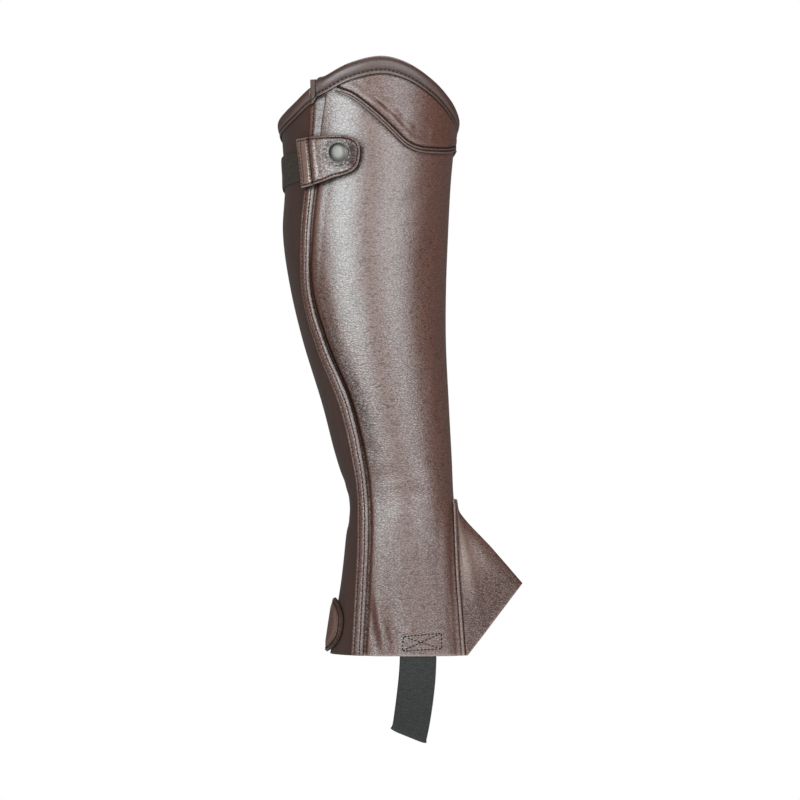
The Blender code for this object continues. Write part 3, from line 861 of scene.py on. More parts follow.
def finish_piece(piece: Piece, slot: Slot, *nodes: str) -> Piece:
    """Makes a piece part of the object.

    Args:
        piece: The piece.
        slot: The slot; not used.
        nodes: The solids that it stands for.

    Returns:
        The piece.
    """
    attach(piece, BODY)
    if nodes:
        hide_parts(*nodes)
    triangles = sum(len(face.vertices) - 2 for face in piece.data.polygons)
    LOG.info("%s: %d triangles", piece.name, triangles)
    return piece


@dataclass
class Sheet:
    """A piece cut from sheet material: mapped grids that meet, with a wall."""

    name: str
    grids: list[Array]  # each grid's points, in rows up and columns across
    wall: float
    wear_and_painted_light: list[Array] | None = None  # how rubbed each grid's points are, with painted highlight above 0 and painted shade below 0
    even: bool = False  # whether the wall keeps its thickness round sharp turns
    rim: float = 0.0  # radius that its cut edges are rounded to

    def cut_size(self) -> tuple[float, float, float]:
        """Measures the cut.

        Returns:
            Its width, its length and its area, laid flat.
        """
        width, length, area = 0.0, 0.0, 0.0
        for grid in self.grids:
            across, up = np.diff(grid, axis=1), np.diff(grid, axis=0)
            width += np.linalg.norm(across, axis=-1).sum(axis=1).max()
            length = max(length, np.linalg.norm(up, axis=-1).sum(axis=0).max())
            area += np.linalg.norm(np.cross(across[:-1], up[:, :-1]), axis=-1).sum()
        return float(width), float(length), float(area)

    def build(self, outer: Finish, inner: Finish | None = None, edge: Finish | None = None) -> Piece:
        """Makes the piece.

        Args:
            outer: The finish of its face.
            inner: The finish of its back, or none for the same.
            edge: The finish of its cut edges, or none for the same.

        Returns:
            The piece.
        """
        points, faces, uvs, start, gone = [], [], [], 0, 0.0
        for grid in self.grids:
            rows, columns = grid.shape[:2]
            corner = np.arange(rows * columns).reshape(rows, columns) + start
            corners = [corner[:-1, :-1], corner[:-1, 1:], corner[1:, 1:], corner[1:, :-1]]
            faces.append(np.stack(corners, axis=-1).reshape(-1, 4))
            across, up = np.zeros((rows, columns)), np.zeros((rows, columns))
            across[:, 1:] = np.cumsum(np.linalg.norm(np.diff(grid, axis=1), axis=-1), axis=1)
            up[1:] = np.cumsum(np.linalg.norm(np.diff(grid, axis=0), axis=-1), axis=0)
            uvs.append(np.stack([across + gone, up], axis=-1).reshape(-1, 2))
            gone += across.max()
            points.append(grid.reshape(-1, 3))
            start += rows * columns
        piece = mesh_piece(self.name, np.concatenate(points), np.concatenate(faces), np.concatenate(uvs))
        if self.wear_and_painted_light is not None:
            paint_wear_and_light(piece, np.concatenate([wear_and_light_marks.ravel() for wear_and_light_marks in self.wear_and_painted_light]))
        for finish in (outer, inner or outer, edge or outer):
            piece.data.materials.append(finish)
        if len(self.grids) > 1:
            apply_modifier(piece, "WELD", merge_threshold=0.00002)
        inward = {"offset": -1.0, "material_offset": 1, "material_offset_rim": 2}
        apply_modifier(piece, "SOLIDIFY", thickness=self.wall, use_even_offset=self.even, **inward)
        if self.rim:
            sharp = {"limit_method": "ANGLE", "angle_limit": math.radians(60)}
            apply_modifier(piece, "BEVEL", width=self.rim, segments=2, **sharp)
        take(piece)
        bpy.ops.object.shade_smooth_by_angle(angle=math.radians(50))
        return piece

    def declare(
        self, piece: Piece, slot: Slot, node: str, hold: Hold,
    ) -> None:
        """Makes the piece part of the object and logs the size that it was cut to.

        Args:
            piece: The piece.
            slot: The slot, handed on to finish_piece.
            node: The solid that it stands for.
            hold: How it is held; not used.
        """
        width, length, area = self.cut_size()
        LOG.info("%s: cut %.0f x %.0f mm, %.1f cm2", piece.name, width * 1000, length * 1000, area * 1e4)
        area = min(area, width * length)
        finish_piece(piece, slot, node)


def cut_grid(across: int | Array, up: int | Array) -> Sequence[Array]:
    """The shares across and up a sheet at its grid's corners, from counts of faces or from shares."""
    steps = [np.linspace(0.0, 1.0, one + 1) if isinstance(one, int) else one for one in (across, up)]
    return np.meshgrid(*steps)


def crowd(count: int, start: float, end: float) -> Array:
    """Shares from 0 to 1 that lie closer at the ends.

    Args:
        count: How many steps there are.
        start: How much closer the first ones lie.
        end: How much closer the last ones lie.

    Returns:
        The shares.
    """
    t = np.linspace(0.0, 1.0, count + 1)
    density = 1 + start * np.exp(-((t / 0.08) ** 2)) + end * np.exp(-(((1 - t) / 0.08) ** 2))
    gone = np.concatenate(([0.0], np.cumsum((1 / density[1:] + 1 / density[:-1]) / 2)))
    return gone / gone[-1]


@dataclass
class Sewing:
    """Rows of stitches that are joined in one piece."""

    name: str
    thread: float  # radius of the thread
    share: float = 0.7  # how much of its pitch a stitch fills
    starts: list[Array] = field(default_factory=list)
    ends: list[Array] = field(default_factory=list)
    outs: list[Array] = field(default_factory=list)

    def row(self, path: Path, length: float, pitch: float) -> None:
        """Adds a row of stitches.

        Args:
            path: Gives the points at shares of the row, lifted by a distance.
            length: The row's length.
            pitch: The length of a stitch and the gap after it.
        """
        count = max(1, round(length / pitch))
        middle = (np.arange(count) + 0.5) / count
        half = self.share / count / 2
        self.starts.append(path(middle - half, 0.0))
        self.ends.append(path(middle + half, 0.0))
        self.outs.append(unit(path(middle, 0.001) - path(middle, 0.0)))

    def one_stitch(self) -> tuple[Array, Array]:
        """Models one stitch along X, standing up Z.

        Returns:
            Its points, from -1 to 1 along X, and its faces.
        """
        deselect()
        lying = (0, math.pi / 2, 0)
        bpy.ops.mesh.primitive_uv_sphere_add(segments=8, ring_count=6, radius=1.0, rotation=lying)
        ball = bpy.context.object
        bpy.ops.object.transform_apply(location=True, rotation=True, scale=True)
        bpy.ops.object.mode_set(mode="EDIT")
        bpy.ops.mesh.select_all(action="SELECT")
        bpy.ops.mesh.tris_convert_to_quads()
        bpy.ops.object.mode_set(mode="OBJECT")
        return shape_of(ball)

    def build(self, thread: Finish, slot: Slot) -> Piece:
        """Sews every row.

        Args:
            thread: The thread's finish.
            slot: The slot, handed on to finish_piece.

        Returns:
            The piece.
        """
        template, faces = self.one_stitch()
        starts, ends, outs = (np.concatenate(rows) for rows in (self.starts, self.ends, self.outs))
        length = np.linalg.norm(ends - starts, axis=1, keepdims=True)
        along = (ends - starts) / length
        side = unit(np.cross(outs, along))
        x = np.sign(template[:, 0]) * np.abs(template[:, 0]) ** 0.6
        ball = np.sqrt(np.clip(1 - template[:, 0] ** 2, 1e-9, 1))
        plump = np.sqrt(np.clip(1 - np.abs(x) ** 5, 0, 1)) / np.maximum(ball, 1e-4) * self.thread
        arch = self.thread * (0.55 - 1.35 * x**4)
        points = (
            (starts + ends)[:, None] / 2
            + along[:, None] * x[:, None] * length[:, None] / 2
            + side[:, None] * (template[:, 1] * plump)[:, None]
            + outs[:, None] * (template[:, 2] * plump + arch)[:, None]
        )
        corners = copied_faces(faces, len(template), len(points))
        piece = mesh_piece(self.name, points, [list(dict.fromkeys(face)) for face in corners.tolist()])
        piece.data.materials.append(thread)
        piece.data.shade_smooth()
        return finish_piece(piece, slot)


# The pieces


@dataclass
class Dressed:
    """A sub-assembly that is dressed in the wardrobe's finishes."""

    wardrobe: Wardrobe


@dataclass
class BodyLeather(Dressed):
    """The body leather from the zip round the shin to the back seam, notched for the spat."""

    zip_from_guard: float = 0.0045
    zip_half_gap: float = 0.003
    outer_columns: int = 92
    inner_columns: int = 84
    notch_rows: int = 54
    upper_rows: int = 136
    settling: int = 3
    per_degree: float = 0.00098
    # how far each ridge stands out, where it lies and half its width
    guard_ridges: Rows = ((0.00045, 0.0145, 0.005), (-0.00075, 0.01, 0.0026))
    lap_ridges: Rows = ((-0.0005, 0.0022, 0.0034), (0.0004, 0.0085, 0.006))
    seam_ridges: Rows = ((0.00045, 0.0012, 0.002), (-0.0003, 0.0033, 0.0014))
    # painted highlight (above 0) and painted shade (below 0) beside the guard, and painted shade beside it on
    # the lower leg: how strong each is, where it lies and half its width
    guard_painted_light: Rows = ((0.25, 0.0128, 0.003), (-0.45, 0.0102, 0.003))
    painted_ankle_shade: Rows = ((0.66, 0.012, 0.0165),)
    # angle, height, slant, half length, half width, how far it stands out
    creases: Rows = (
        (-12, 0.131, 8, 0.022, 0.0042, -0.0006), (16, 0.119, -6, 0.02, 0.004, -0.0006),
        (0, 0.103, 5, 0.017, 0.004, 0.0005), (42, 0.142, 14, 0.016, 0.004, -0.0005),
        (-26, 0.152, -12, 0.013, 0.004, -0.0005), (8, 0.155, 4, 0.02, 0.005, 0.0004),
        (10, 0.046, -72, 0.02, 0.0042, 0.0005), (-27, 0.02, 104, 0.02, 0.004, -0.0013),
        (-19.5, 0.019, 104, 0.019, 0.0042, 0.003), (-11, 0.025, 100, 0.018, 0.0044, -0.001),
        (-3, 0.018, 104, 0.016, 0.004, -0.0003), (36, 0.026, 80, 0.018, 0.0036, -0.0005),
        (-14, 0.06, 66, 0.017, 0.004, -0.0004), (28, 0.082, -40, 0.014, 0.004, -0.0004),
        (32, 0.332, 30, 0.024, 0.006, -0.0004), (4, 0.296, -14, 0.026, 0.008, 0.0004),
        (-16, 0.24, 70, 0.03, 0.007, -0.0004), (52, 0.3, 78, 0.034, 0.007, -0.0005),
        (50, 0.2, 84, 0.03, 0.006, 0.0004), (118, 0.134, -10, 0.016, 0.0042, -0.0005),
        (152, 0.126, 6, 0.021, 0.0042, -0.0006), (196, 0.136, 12, 0.02, 0.0045, -0.0006),
        (170, 0.11, -8, 0.018, 0.004, 0.0005), (222, 0.118, -10, 0.014, 0.004, -0.0005),
        (205, 0.15, 8, 0.017, 0.0045, 0.0004), (150, 0.3, 22, 0.024, 0.0065, -0.0005),
        (120, 0.24, 76, 0.028, 0.0065, 0.0004), (206, 0.33, -14, 0.024, 0.006, -0.0004),
        (226, 0.062, 76, 0.018, 0.004, -0.0004), (178, 0.046, -70, 0.018, 0.0042, 0.0004),
    )

    def height_at(self, up: Array, angle: Array) -> Array:
        """Rows up to the notch's top are level, and those above rise to the top edge.

        Args:
            up: Shares of the rows.
            angle: Their angles.

        Returns:
            The heights.
        """
        share = self.notch_rows / (self.notch_rows + self.upper_rows)
        low = LEG.notch_top * up / share
        high = LEG.notch_top + (LEG.top(angle) - LEG.notch_top) * (up - share) / (1 - share)
        return np.where(up <= share + 1e-9, low, high)

    def settle(self, across: Array, up: Array, start: Callable, end: Callable) -> tuple[Array, Array]:
        """Finds the angle and height of a panel's points between two edges.

        Args:
            across: Shares across the panel.
            up: Shares up it.
            start: The angle of its first edge at a height.
            end: The angle of its last edge at a height.

        Returns:
            The angles and the heights.
        """
        angle, height = np.zeros_like(across), self.height_at(up, np.zeros_like(across))
        for _ in range(self.settling):
            first, last = start(height), end(height)
            angle = first + (last - first) * across
            height = self.height_at(up, angle)
        return angle, height

    def zip_edge(self, height: Array) -> Array:
        """The leather's edge beside the zip."""
        return LEG.along(LEG.guard(height), height, self.zip_from_guard + self.zip_half_gap)

    def from_guard(self, angle: Array, height: Array) -> tuple[Array, Array]:
        """How far points lie in front of the guard, had it no flare, and a share that fades at its top."""
        guard, flare = LEG.guard(height), Zip.guard_flare * ease(Zip.flare_start, Zip.flare_end, height)
        return (angle - guard) * LEG.per_degree(guard, height) - flare, 1 - ease(0.35, 0.375, height)

    def relief(self, angle: Array, height: Array) -> Array:
        """The creases, the pulled-in seams and the padded edges.

        Args:
            angle: Their angles.
            height: Their heights.

        Returns:
            How far each point stands out.
        """
        from_guard, low_down = self.from_guard(angle, height)
        lap = LEG.lap(height)
        to_lap = (lap - np.where(angle > 90, 180 - angle, angle)) * LEG.per_degree(lap, height)
        to_seam = (LEG.back_seam - angle) * self.per_degree
        front = angle < 90
        return (
            push_all(self.creases, angle, height, self.per_degree)
            + front * low_down * ridges(from_guard, self.guard_ridges)
            + (1 - ease(0.106, 0.116, height)) * ridges(to_lap, self.lap_ridges)
            + ~front * ridges(to_seam, self.seam_ridges)
        )

    def build(self, tab: "SnapTab", yoke: "Yoke") -> None:
        """Cuts and dresses the leather.

        Args:
            tab: The tab that lies on it.
            yoke: The yoke that lies on it.
        """
        rows = self.notch_rows + self.upper_rows
        panels = (
            (self.outer_columns, (2.2, 0.6), self.zip_edge, LEG.notch),
            (
                self.inner_columns, (0.6, 1.6), lambda h: 180 - LEG.notch(h),
                lambda h: np.full_like(h, LEG.back_seam),
            ),
        )
        grids, wear_and_painted_light = [], []
        for columns, crowding, start, end in panels:
            across, up = cut_grid(crowd(columns, *crowding), rows)
            angle, height = self.settle(across, up, start, end)
            grids.append(LEG.on(angle, height, self.relief(angle, height)))
            wear_and_painted_light.append(self.wear_and_painted_light(angle, height, tab, yoke))
        sheet = Sheet("body_leather", grids, LEG.leather, wear_and_painted_light, rim=LEG.rim)
        piece = sheet.build(self.wardrobe.leather, self.wardrobe.flesh, self.wardrobe.cut_edge)
        sheet.declare(piece, Slot.LEATHER, "leg_panel", Hold.STRETCHED)

    def wear_and_painted_light(self, angle: Array, height: Array, tab: "SnapTab", yoke: "Yoke") -> Array:
        """How rubbed the leather is along its edges, and where highlight, shade and shadow are painted beside
        what is sewn on it.

        Args:
            angle: Their angles.
            height: Their heights.
            tab: The tab that lies on it.
            yoke: The yoke that lies on it.

        Returns:
            From -1, painted shade, to 1, rubbed with painted highlight, at each point.
        """
        from_guard, low_down = self.from_guard(angle, height)
        front = angle < 90
        # painted highlight on the guard's padded edge and painted shade in the valley beside it
        guard_light_and_shade = ridges(from_guard, self.guard_painted_light) * front * low_down
        hem = 1 - ease(0.0, 0.0022, height)
        seam = 0.5 * (1 - ease(0.0, 0.002, (LEG.back_seam - angle) * self.per_degree))
        # painted shade beside the guard on the lower leg
        ankle_shade = ridges(from_guard, self.painted_ankle_shade) * swell(height, 0.205, 0.135) * front
        # painted shadow under the binding's lower edge
        under = 0.85 * (1 - ease(0.0, 0.0016, LEG.top(angle) - Binding.depth - height))
        # the painted shade and the painted shadows of the piping and the tab
        dark = ankle_shade + under + yoke.shade(angle, height) - tab.shade(angle, height)
        return np.clip(guard_light_and_shade + hem + seam - dark, -1.0, 1.0)


@dataclass
class StretchCalf(Dressed):
    """The knitted panel down the calf, from under the back seam to the zip."""

    body: BodyLeather
    wall: float = 0.0014
    lap: float = 0.008
    lap_start: float = 0.001
    lap_ease: float = 0.009
    columns: int = 60
    # angle, height, slant, half length, half width, how far it stands out
    creases: Rows = (
        (284, 0.118, 6, 0.016, 0.0036, -0.0005), (266, 0.128, -8, 0.014, 0.0036, -0.0005),
        (296, 0.14, 14, 0.015, 0.004, 0.0004), (276, 0.096, 0, 0.014, 0.0036, -0.0004),
        (300, 0.2, 74, 0.03, 0.005, -0.0004), (304, 0.33, 82, 0.03, 0.0045, -0.0004),
        (262, 0.25, -80, 0.034, 0.006, 0.0004),
    )

    def dip(self, angle: Array, height: Array) -> Array:
        """How far the knit sinks to pass under the leather's back edge.

        Args:
            angle: Their angles.
            height: Their heights.

        Returns:
            The depth at each point.
        """
        seam = LEG.back_seam
        step = np.linalg.norm(LEG.point(seam + 1, height) - LEG.point(seam, height), axis=-1)
        sunk = 1 - ease(self.lap_start, self.lap_start + self.lap_ease, (angle - seam) * step)
        return (LEG.leather + LEG.clearance) * sunk

    def build(self) -> None:
        """Cuts and dresses the knit."""
        body = self.body
        across, up = cut_grid(self.columns, body.notch_rows + body.upper_rows)
        angle, height = body.settle(
            across, up, lambda h: LEG.along(LEG.back_seam, h, -self.lap),
            lambda h: 360 + LEG.along(LEG.guard(h), h, body.zip_from_guard - body.zip_half_gap),
        )
        lift = push_all(self.creases, angle, height, body.per_degree) - self.dip(angle, height)
        sheet = Sheet("calf_knit", [LEG.on(angle, height, lift)], self.wall)
        piece = sheet.build(self.wardrobe.knit)
        sheet.declare(piece, Slot.KNIT, "stretch_panel", Hold.STRETCHED)


@dataclass
class Zip(Dressed):
    """The closed zip and the strip of leather that guards it."""

    body: BodyLeather
    start: float = 0.004
    top_gap: float = 0.0015
    under_binding: float = 0.004
    tape_half: float = 0.013
    tape_wall: float = 0.0009
    chain_wall: float = 0.0019
    coil_pitch: float = 0.0016
    coil_reach: float = 0.0016
    coil_wire: float = 0.00038
    loop_wire: float = 0.3
    guard_width: float = 0.0092
    guard_flare: float = 0.004
    flare_start: float = 0.375
    flare_end: float = 0.412
    guard_lift: float = 0.0006
    guard_wall: float = 0.0015
    guard_roll: float = 0.0007
    guard_top_gap: float = 0.0011
    # distance from the free edge, as a share of the width; relief
    guard_profile: Rows = (
        (0.0, -0.0003), (0.05, 0.0002), (0.13, 0.0004), (0.21, 0.0002), (0.26, 0.0), (0.32, 0.0002),
        (0.48, 0.0004), (0.62, 0.0003), (0.68, 0.0001), (0.73, 0.0), (0.8, 0.0003), (0.93, 0.0),
        (1.0, -0.0009),
    )
    # share of the width, and how far up the guard the sewing goes
    guard_seams: Rows = ((0.26, 1.0), (0.72, 0.9))
    # how rubbed with painted highlight (above 0) or painted shade (below 0) each line is, where it lies and
    # half its width, as shares of the guard's width
    lower_wear_and_light: Rows = ((0.35, 0.06, 0.08), (0.15, 0.82, 0.08), (-0.35, 0.72, 0.06))
    guard_painted_light: Rows = ((-0.35, 0.25, 0.07), (-0.75, 1.0, 0.05))
    guard_columns: int = 34
    guard_rows: int = 300
    tape_faces: tuple[int, int] = (20, 150)
    coil_ends: tuple[float, float] = (0.003, 0.001)  # how far the coil ends from the zip's ends
    thread: float = 0.00036
    thread_share: float = 0.66
    stitch: float = 0.003

    def line(self, height: Array, across: Number = 0.0) -> Array:
        """The angle of the zip's middle line, or of a line so far in front of it."""
        return LEG.along(LEG.guard(height), height, self.body.zip_from_guard + across)

    def top(self) -> float:
        """Height at which the zip ends, just under the binding."""
        at = np.array(LEG.zip_meets_top)
        return float(LEG.top(self.line(at))) - Binding.depth - self.top_gap

    def build_tape(self) -> None:
        """Weaves the tape inside."""
        across, up = cut_grid(*self.tape_faces)
        height = self.start + (self.top() + self.under_binding - self.start) * up
        line = self.line(height, self.tape_half * (2 * across - 1))
        sheet = Sheet("zip_twill_tape", [LEG.on(line, height, -LEG.leather - LEG.clearance)], self.tape_wall)
        piece = sheet.build(self.wardrobe.tape)
        sheet.declare(piece, Slot.TAPE, "zip_tape", Hold.HUNG)

    def build_coil(self) -> None:
        """Coils the closed rows of teeth, one loop copied up both sides."""
        deselect()
        sides, upright = {"major_segments": 12, "minor_segments": 6}, (math.pi / 2, 0, 0)
        bpy.ops.mesh.primitive_torus_add(
            major_radius=1.0, minor_radius=self.loop_wire, rotation=upright, **sides
        )
        loop = bpy.context.object
        bpy.ops.object.transform_apply(location=True, rotation=True, scale=True)
        template, faces = shape_of(loop)
        radial = np.hypot(template[:, 0], template[:, 2])
        wire = (radial - 1.0) / self.loop_wire * self.coil_wire
        x = template[:, 0] / radial * (self.coil_reach * 0.5 + wire)
        y = template[:, 1] / self.loop_wire * self.coil_wire
        z = template[:, 2] / radial * (self.chain_wall / 2 - self.coil_wire + wire)
        lift = self.chain_wall / 2 - LEG.leather + z[None]
        points = []
        low, high = self.coil_ends
        heights = np.arange(self.start + low, self.top() - high, self.coil_pitch)
        for side, shift in ((-1.0, 0.0), (1.0, 0.5)):
            rise = (heights + shift * self.coil_pitch)[:, None] + y[None] + side * 0.2 * x[None]
            reach = side * self.coil_reach * 0.38 + x[None]
            points.append(LEG.on(self.line(rise, reach), rise, lift).reshape(-1, 3))
        points = np.concatenate(points)
        corners = copied_faces(faces, len(template), len(points) // len(template))
        piece = mesh_piece("zip_nylon_coil", points, corners)
        piece.data.materials.append(self.wardrobe.nylon)
        turn_outwards(piece)
        piece.data.shade_smooth()
        finish_piece(piece, Slot.TEETH, "zip_teeth")

    def width(self, height: Array) -> Array:
        """The guard's width, which flares towards the top edge."""
        return self.guard_width + self.guard_flare * ease(self.flare_start, self.flare_end, height)

    def guard_place(self, share: Array, up: Array) -> tuple[Array, Array]:
        """Where the guard's points lie on the leg.

        Args:
            share: Shares of its width, from its free edge.
            up: Shares of its height.

        Returns:
            The angles and the heights.
        """
        room = Binding.depth + self.guard_top_gap
        height = up * (LEG.top(LEG.guard(np.array(LEG.zip_meets_top))) - room)
        angle = LEG.along(LEG.guard(height), height, self.width(height) * share)
        return angle, up * (LEG.top(angle) - room)

    def guard_point(self, share: Number, up: Number, lift: Number = 0.0) -> Array:
        """Points of the guard's face.

        Args:
            share: Shares of its width, from its free edge.
            up: Shares of its height.
            lift: How far off its face the points stand.

        Returns:
            The points.
        """
        share, up = together(share, up)
        angle, height = self.guard_place(share, up)
        padded = 1 - 0.8 * ease(self.flare_start - 0.012, self.flare_start + 0.006, height)
        full = (self.guard_roll * np.sin(np.pi * share) * 0.5 + Curve(self.guard_profile).at(share)) * padded
        wave = 0.00012 * np.sin(height / 0.0043 + 1.3 * np.sin(height / 0.031))
        wave = wave * np.sin(np.pi * share) * padded
        flush = 0.0013 * ease(0.35, 1.0, share) * (1 - padded) / 0.8
        return LEG.on(angle, height, self.guard_lift + self.guard_wall + full + wave - flush + lift)

    def build_guard(self, tab: "SnapTab") -> None:
        """Cuts the guard and sews both its lines.

        Args:
            tab: The tab that closes over it.
        """
        across, up = cut_grid(self.guard_columns, self.guard_rows)
        low = 1 - ease(0.86, 0.92, up)
        wear_and_painted_light = (
            ridges(across, self.lower_wear_and_light) * low
            + ridges(across, self.guard_painted_light)
            # painted shade on the guard's upper part and under the binding, and the tab's painted shadow
            - 0.25 * (1 - low) * ease(0.26, 0.34, across)
            - 0.8 * (1 - ease(0.0, 0.008, 1 - up))
            + tab.shade(*self.guard_place(across, up))
        )
        grids = [self.guard_point(across, up)]
        sheet = Sheet("zip_guard_strip", grids, self.guard_wall, [wear_and_painted_light], rim=LEG.rim)
        guard = sheet.build(self.wardrobe.leather, self.wardrobe.flesh, self.wardrobe.cut_edge)
        sewing = Sewing("guard_sewing", self.thread, self.thread_share)
        length = sheet.cut_size()[1]
        for share, end in self.guard_seams:
            sewing.row(
                lambda t, lift, s=share, e=end: self.guard_point(s, e * t, lift), length * end, self.stitch
            )
        thread = sewing.build(self.wardrobe.thread, Slot.LEATHER)
        sheet.declare(guard, Slot.LEATHER, "zip_guard", Hold.HUNG)


@dataclass
class Binding(Dressed):
    """The leather rolled over the padded top edge, and its turned end beside the zip."""

    calf: StretchCalf
    depth: float = 0.0108
    wall: float = 0.0012
    room: float = 0.0016
    start: float = 0.0052
    end_width: float = 0.0054
    sink_start: float = 16.0
    sink_end: float = 9.0
    sink_lead: float = 4.0
    plumpness: float = 0.0012
    plump_share: float = 0.008
    stitches: int = 132
    # how rubbed with painted highlight (above 0) or painted shade (below 0) each line is, where it lies over
    # the edge and half its width
    wear_and_light_marks: Rows = ((0.15, 0.07, 0.05), (-0.75, 0.155, 0.035), (-0.9, 0.0, 0.03), (-0.75, 0.88, 0.035))
    # share of the way over, then across from the outer face (0) to the inner (1), bulge, rise
    profile: Rows = (
        (0.0, 0.0, -0.0004, -0.0108), (0.03, 0.0, 0.0001, -0.0106), (0.08, 0.0, 0.0003, -0.0096),
        (0.12, 0.0, 0.0001, -0.0087), (0.15, 0.0, -0.0005, -0.008), (0.18, 0.0, 0.0001, -0.0073),
        (0.24, 0.0, 0.001, -0.0059), (0.31, 0.0, 0.0014, -0.0038), (0.38, 0.0, 0.0013, -0.0016),
        (0.44, 0.06, 0.0006, 0.0004), (0.5, 0.28, 0.0, 0.00185), (0.56, 0.6, 0.0, 0.00205),
        (0.62, 0.92, 0.0, 0.0006), (0.68, 1.0, -0.0011, -0.0018), (0.76, 1.0, -0.0013, -0.0043),
        (0.84, 1.0, -0.0005, -0.007), (0.88, 1.0, 0.0004, -0.008), (0.92, 1.0, 0.0, -0.0088),
        (1.0, 1.0, 0.0002, -0.0108),
    )
    columns: int = 540
    rows: int = 30
    end_wall: float = 0.0015
    end_lift: float = 0.0006
    end_faces: tuple[int, int] = (14, 40)
    # painted highlight on one side of the turned end and painted shade on its other side: how strong, where
    # across it and half the width
    end_wear_and_light: Rows = ((0.45, 0.3, 0.26), (-0.95, 0.86, 0.26))
    thread: float = 0.0004
    sewn_lines: tuple[float, ...] = (0.15, 0.878)

    def ends(self) -> tuple[float, float]:
        """The angles at which the binding starts and ends.

        Returns:
            Both angles.
        """
        at = np.array(LEG.zip_meets_top)
        edge = LEG.guard(at)
        return float(LEG.along(edge, at, self.start)), 360.0 + float(LEG.along(edge, at, -LEG.clearance))

    def point(self, across: Number, over: Number, lift: Number = 0.0) -> Array:
        """Points of the binding's face.

        Args:
            across: Shares of its length.
            over: Shares of the way over the edge, from outside to inside.
            lift: How far off its face the points stand.

        Returns:
            The points.
        """
        across, over, lift = together(across, over, lift)
        first, last = self.ends()
        angle = first + (last - first) * across
        outer = LEG.clearance + self.wall
        inner = -LEG.leather - self.room - self.wall
        share, bulge, rise = (Curve(self.profile, column).at(over) for column in (1, 2, 3))
        puckered = ridges(over, ((1, 0.15, 0.05), (0.7, 0.87, 0.05)))
        pucker = 0.00012 * np.cos(math.tau * self.stitches * across) * puckered
        uneven = 0.00016 * np.sin(across * 61 + 2.1 * np.sin(across * 17)) * np.sin(np.pi * over)
        outwards = np.where(share < 0.5, 1, -1)
        stand = outer + (inner - outer) * share + bulge + outwards * (pucker + uneven + lift)
        sunk_from = np.maximum(angle - self.sink_lead, LEG.back_seam)
        sink = self.calf.dip(sunk_from, np.full_like(angle, LEG.zip_meets_top))
        sink = sink * ease(LEG.back_seam - self.sink_start, LEG.back_seam - self.sink_end, angle)
        stand = np.where(stand < 0, stand - sink, stand)
        plump = self.plumpness * ease(0.22, 0.45, over) * ease(0.0, 0.18, 1 - over)
        plump = plump * np.exp(-((across / self.plump_share) ** 2))
        return LEG.on(angle, LEG.top(angle) + rise + plump, stand)

    def end_point(self, across: Array, up: Array) -> Array:
        """Points of the turned end.

        Args:
            across: Shares of its width.
            up: Shares of its height.

        Returns:
            The points.
        """
        at = np.array(LEG.zip_meets_top)
        edge = LEG.guard(at)
        top = LEG.top(LEG.along(edge, at, self.end_width)) + 0.0019
        angle = LEG.along(edge, at, self.end_width * across)
        bottom = LEG.top(angle) - self.depth
        height = bottom + (top - bottom) * up
        bulge = 0.0006 * np.sin(np.pi * across) ** 0.7 - 0.0005 * swell(up, 0.18, 0.06)
        return LEG.on(angle, height, self.end_lift + self.end_wall + bulge)

    def build(self) -> None:
        """Rolls, turns and sews the binding."""
        leather, flesh, cut_edge = self.wardrobe.binding_leather, self.wardrobe.flesh, self.wardrobe.cut_edge
        across, over = cut_grid(self.columns, self.rows)
        sheet = Sheet("top_edge_binding", [self.point(across, over)], self.wall, [ridges(over, self.wear_and_light_marks)])
        binding = sheet.build(leather, flesh, cut_edge)
        across, up = cut_grid(*self.end_faces)
        # painted shade in a line along the turned end's lower part
        wear_and_painted_light = ridges(across, self.end_wear_and_light) - 0.8 * swell(up, 0.16, 0.06)
        grids = [self.end_point(across, up)]
        end_sheet = Sheet("binding_turned_end", grids, self.end_wall, [wear_and_painted_light], rim=LEG.rim)
        end = end_sheet.build(leather, flesh, cut_edge)
        sewing = Sewing("binding_sewing", self.thread)
        for line in self.sewn_lines:
            sewing.row(lambda t, lift, o=line: self.point(t, o, lift), 1.0, 1.0 / self.stitches)
        thread = sewing.build(self.wardrobe.thread, Slot.LEATHER)
        sheet.declare(binding, Slot.LEATHER, "top_binding", Hold.FOLDED)
        finish_piece(end, Slot.LEATHER, "binding_end")


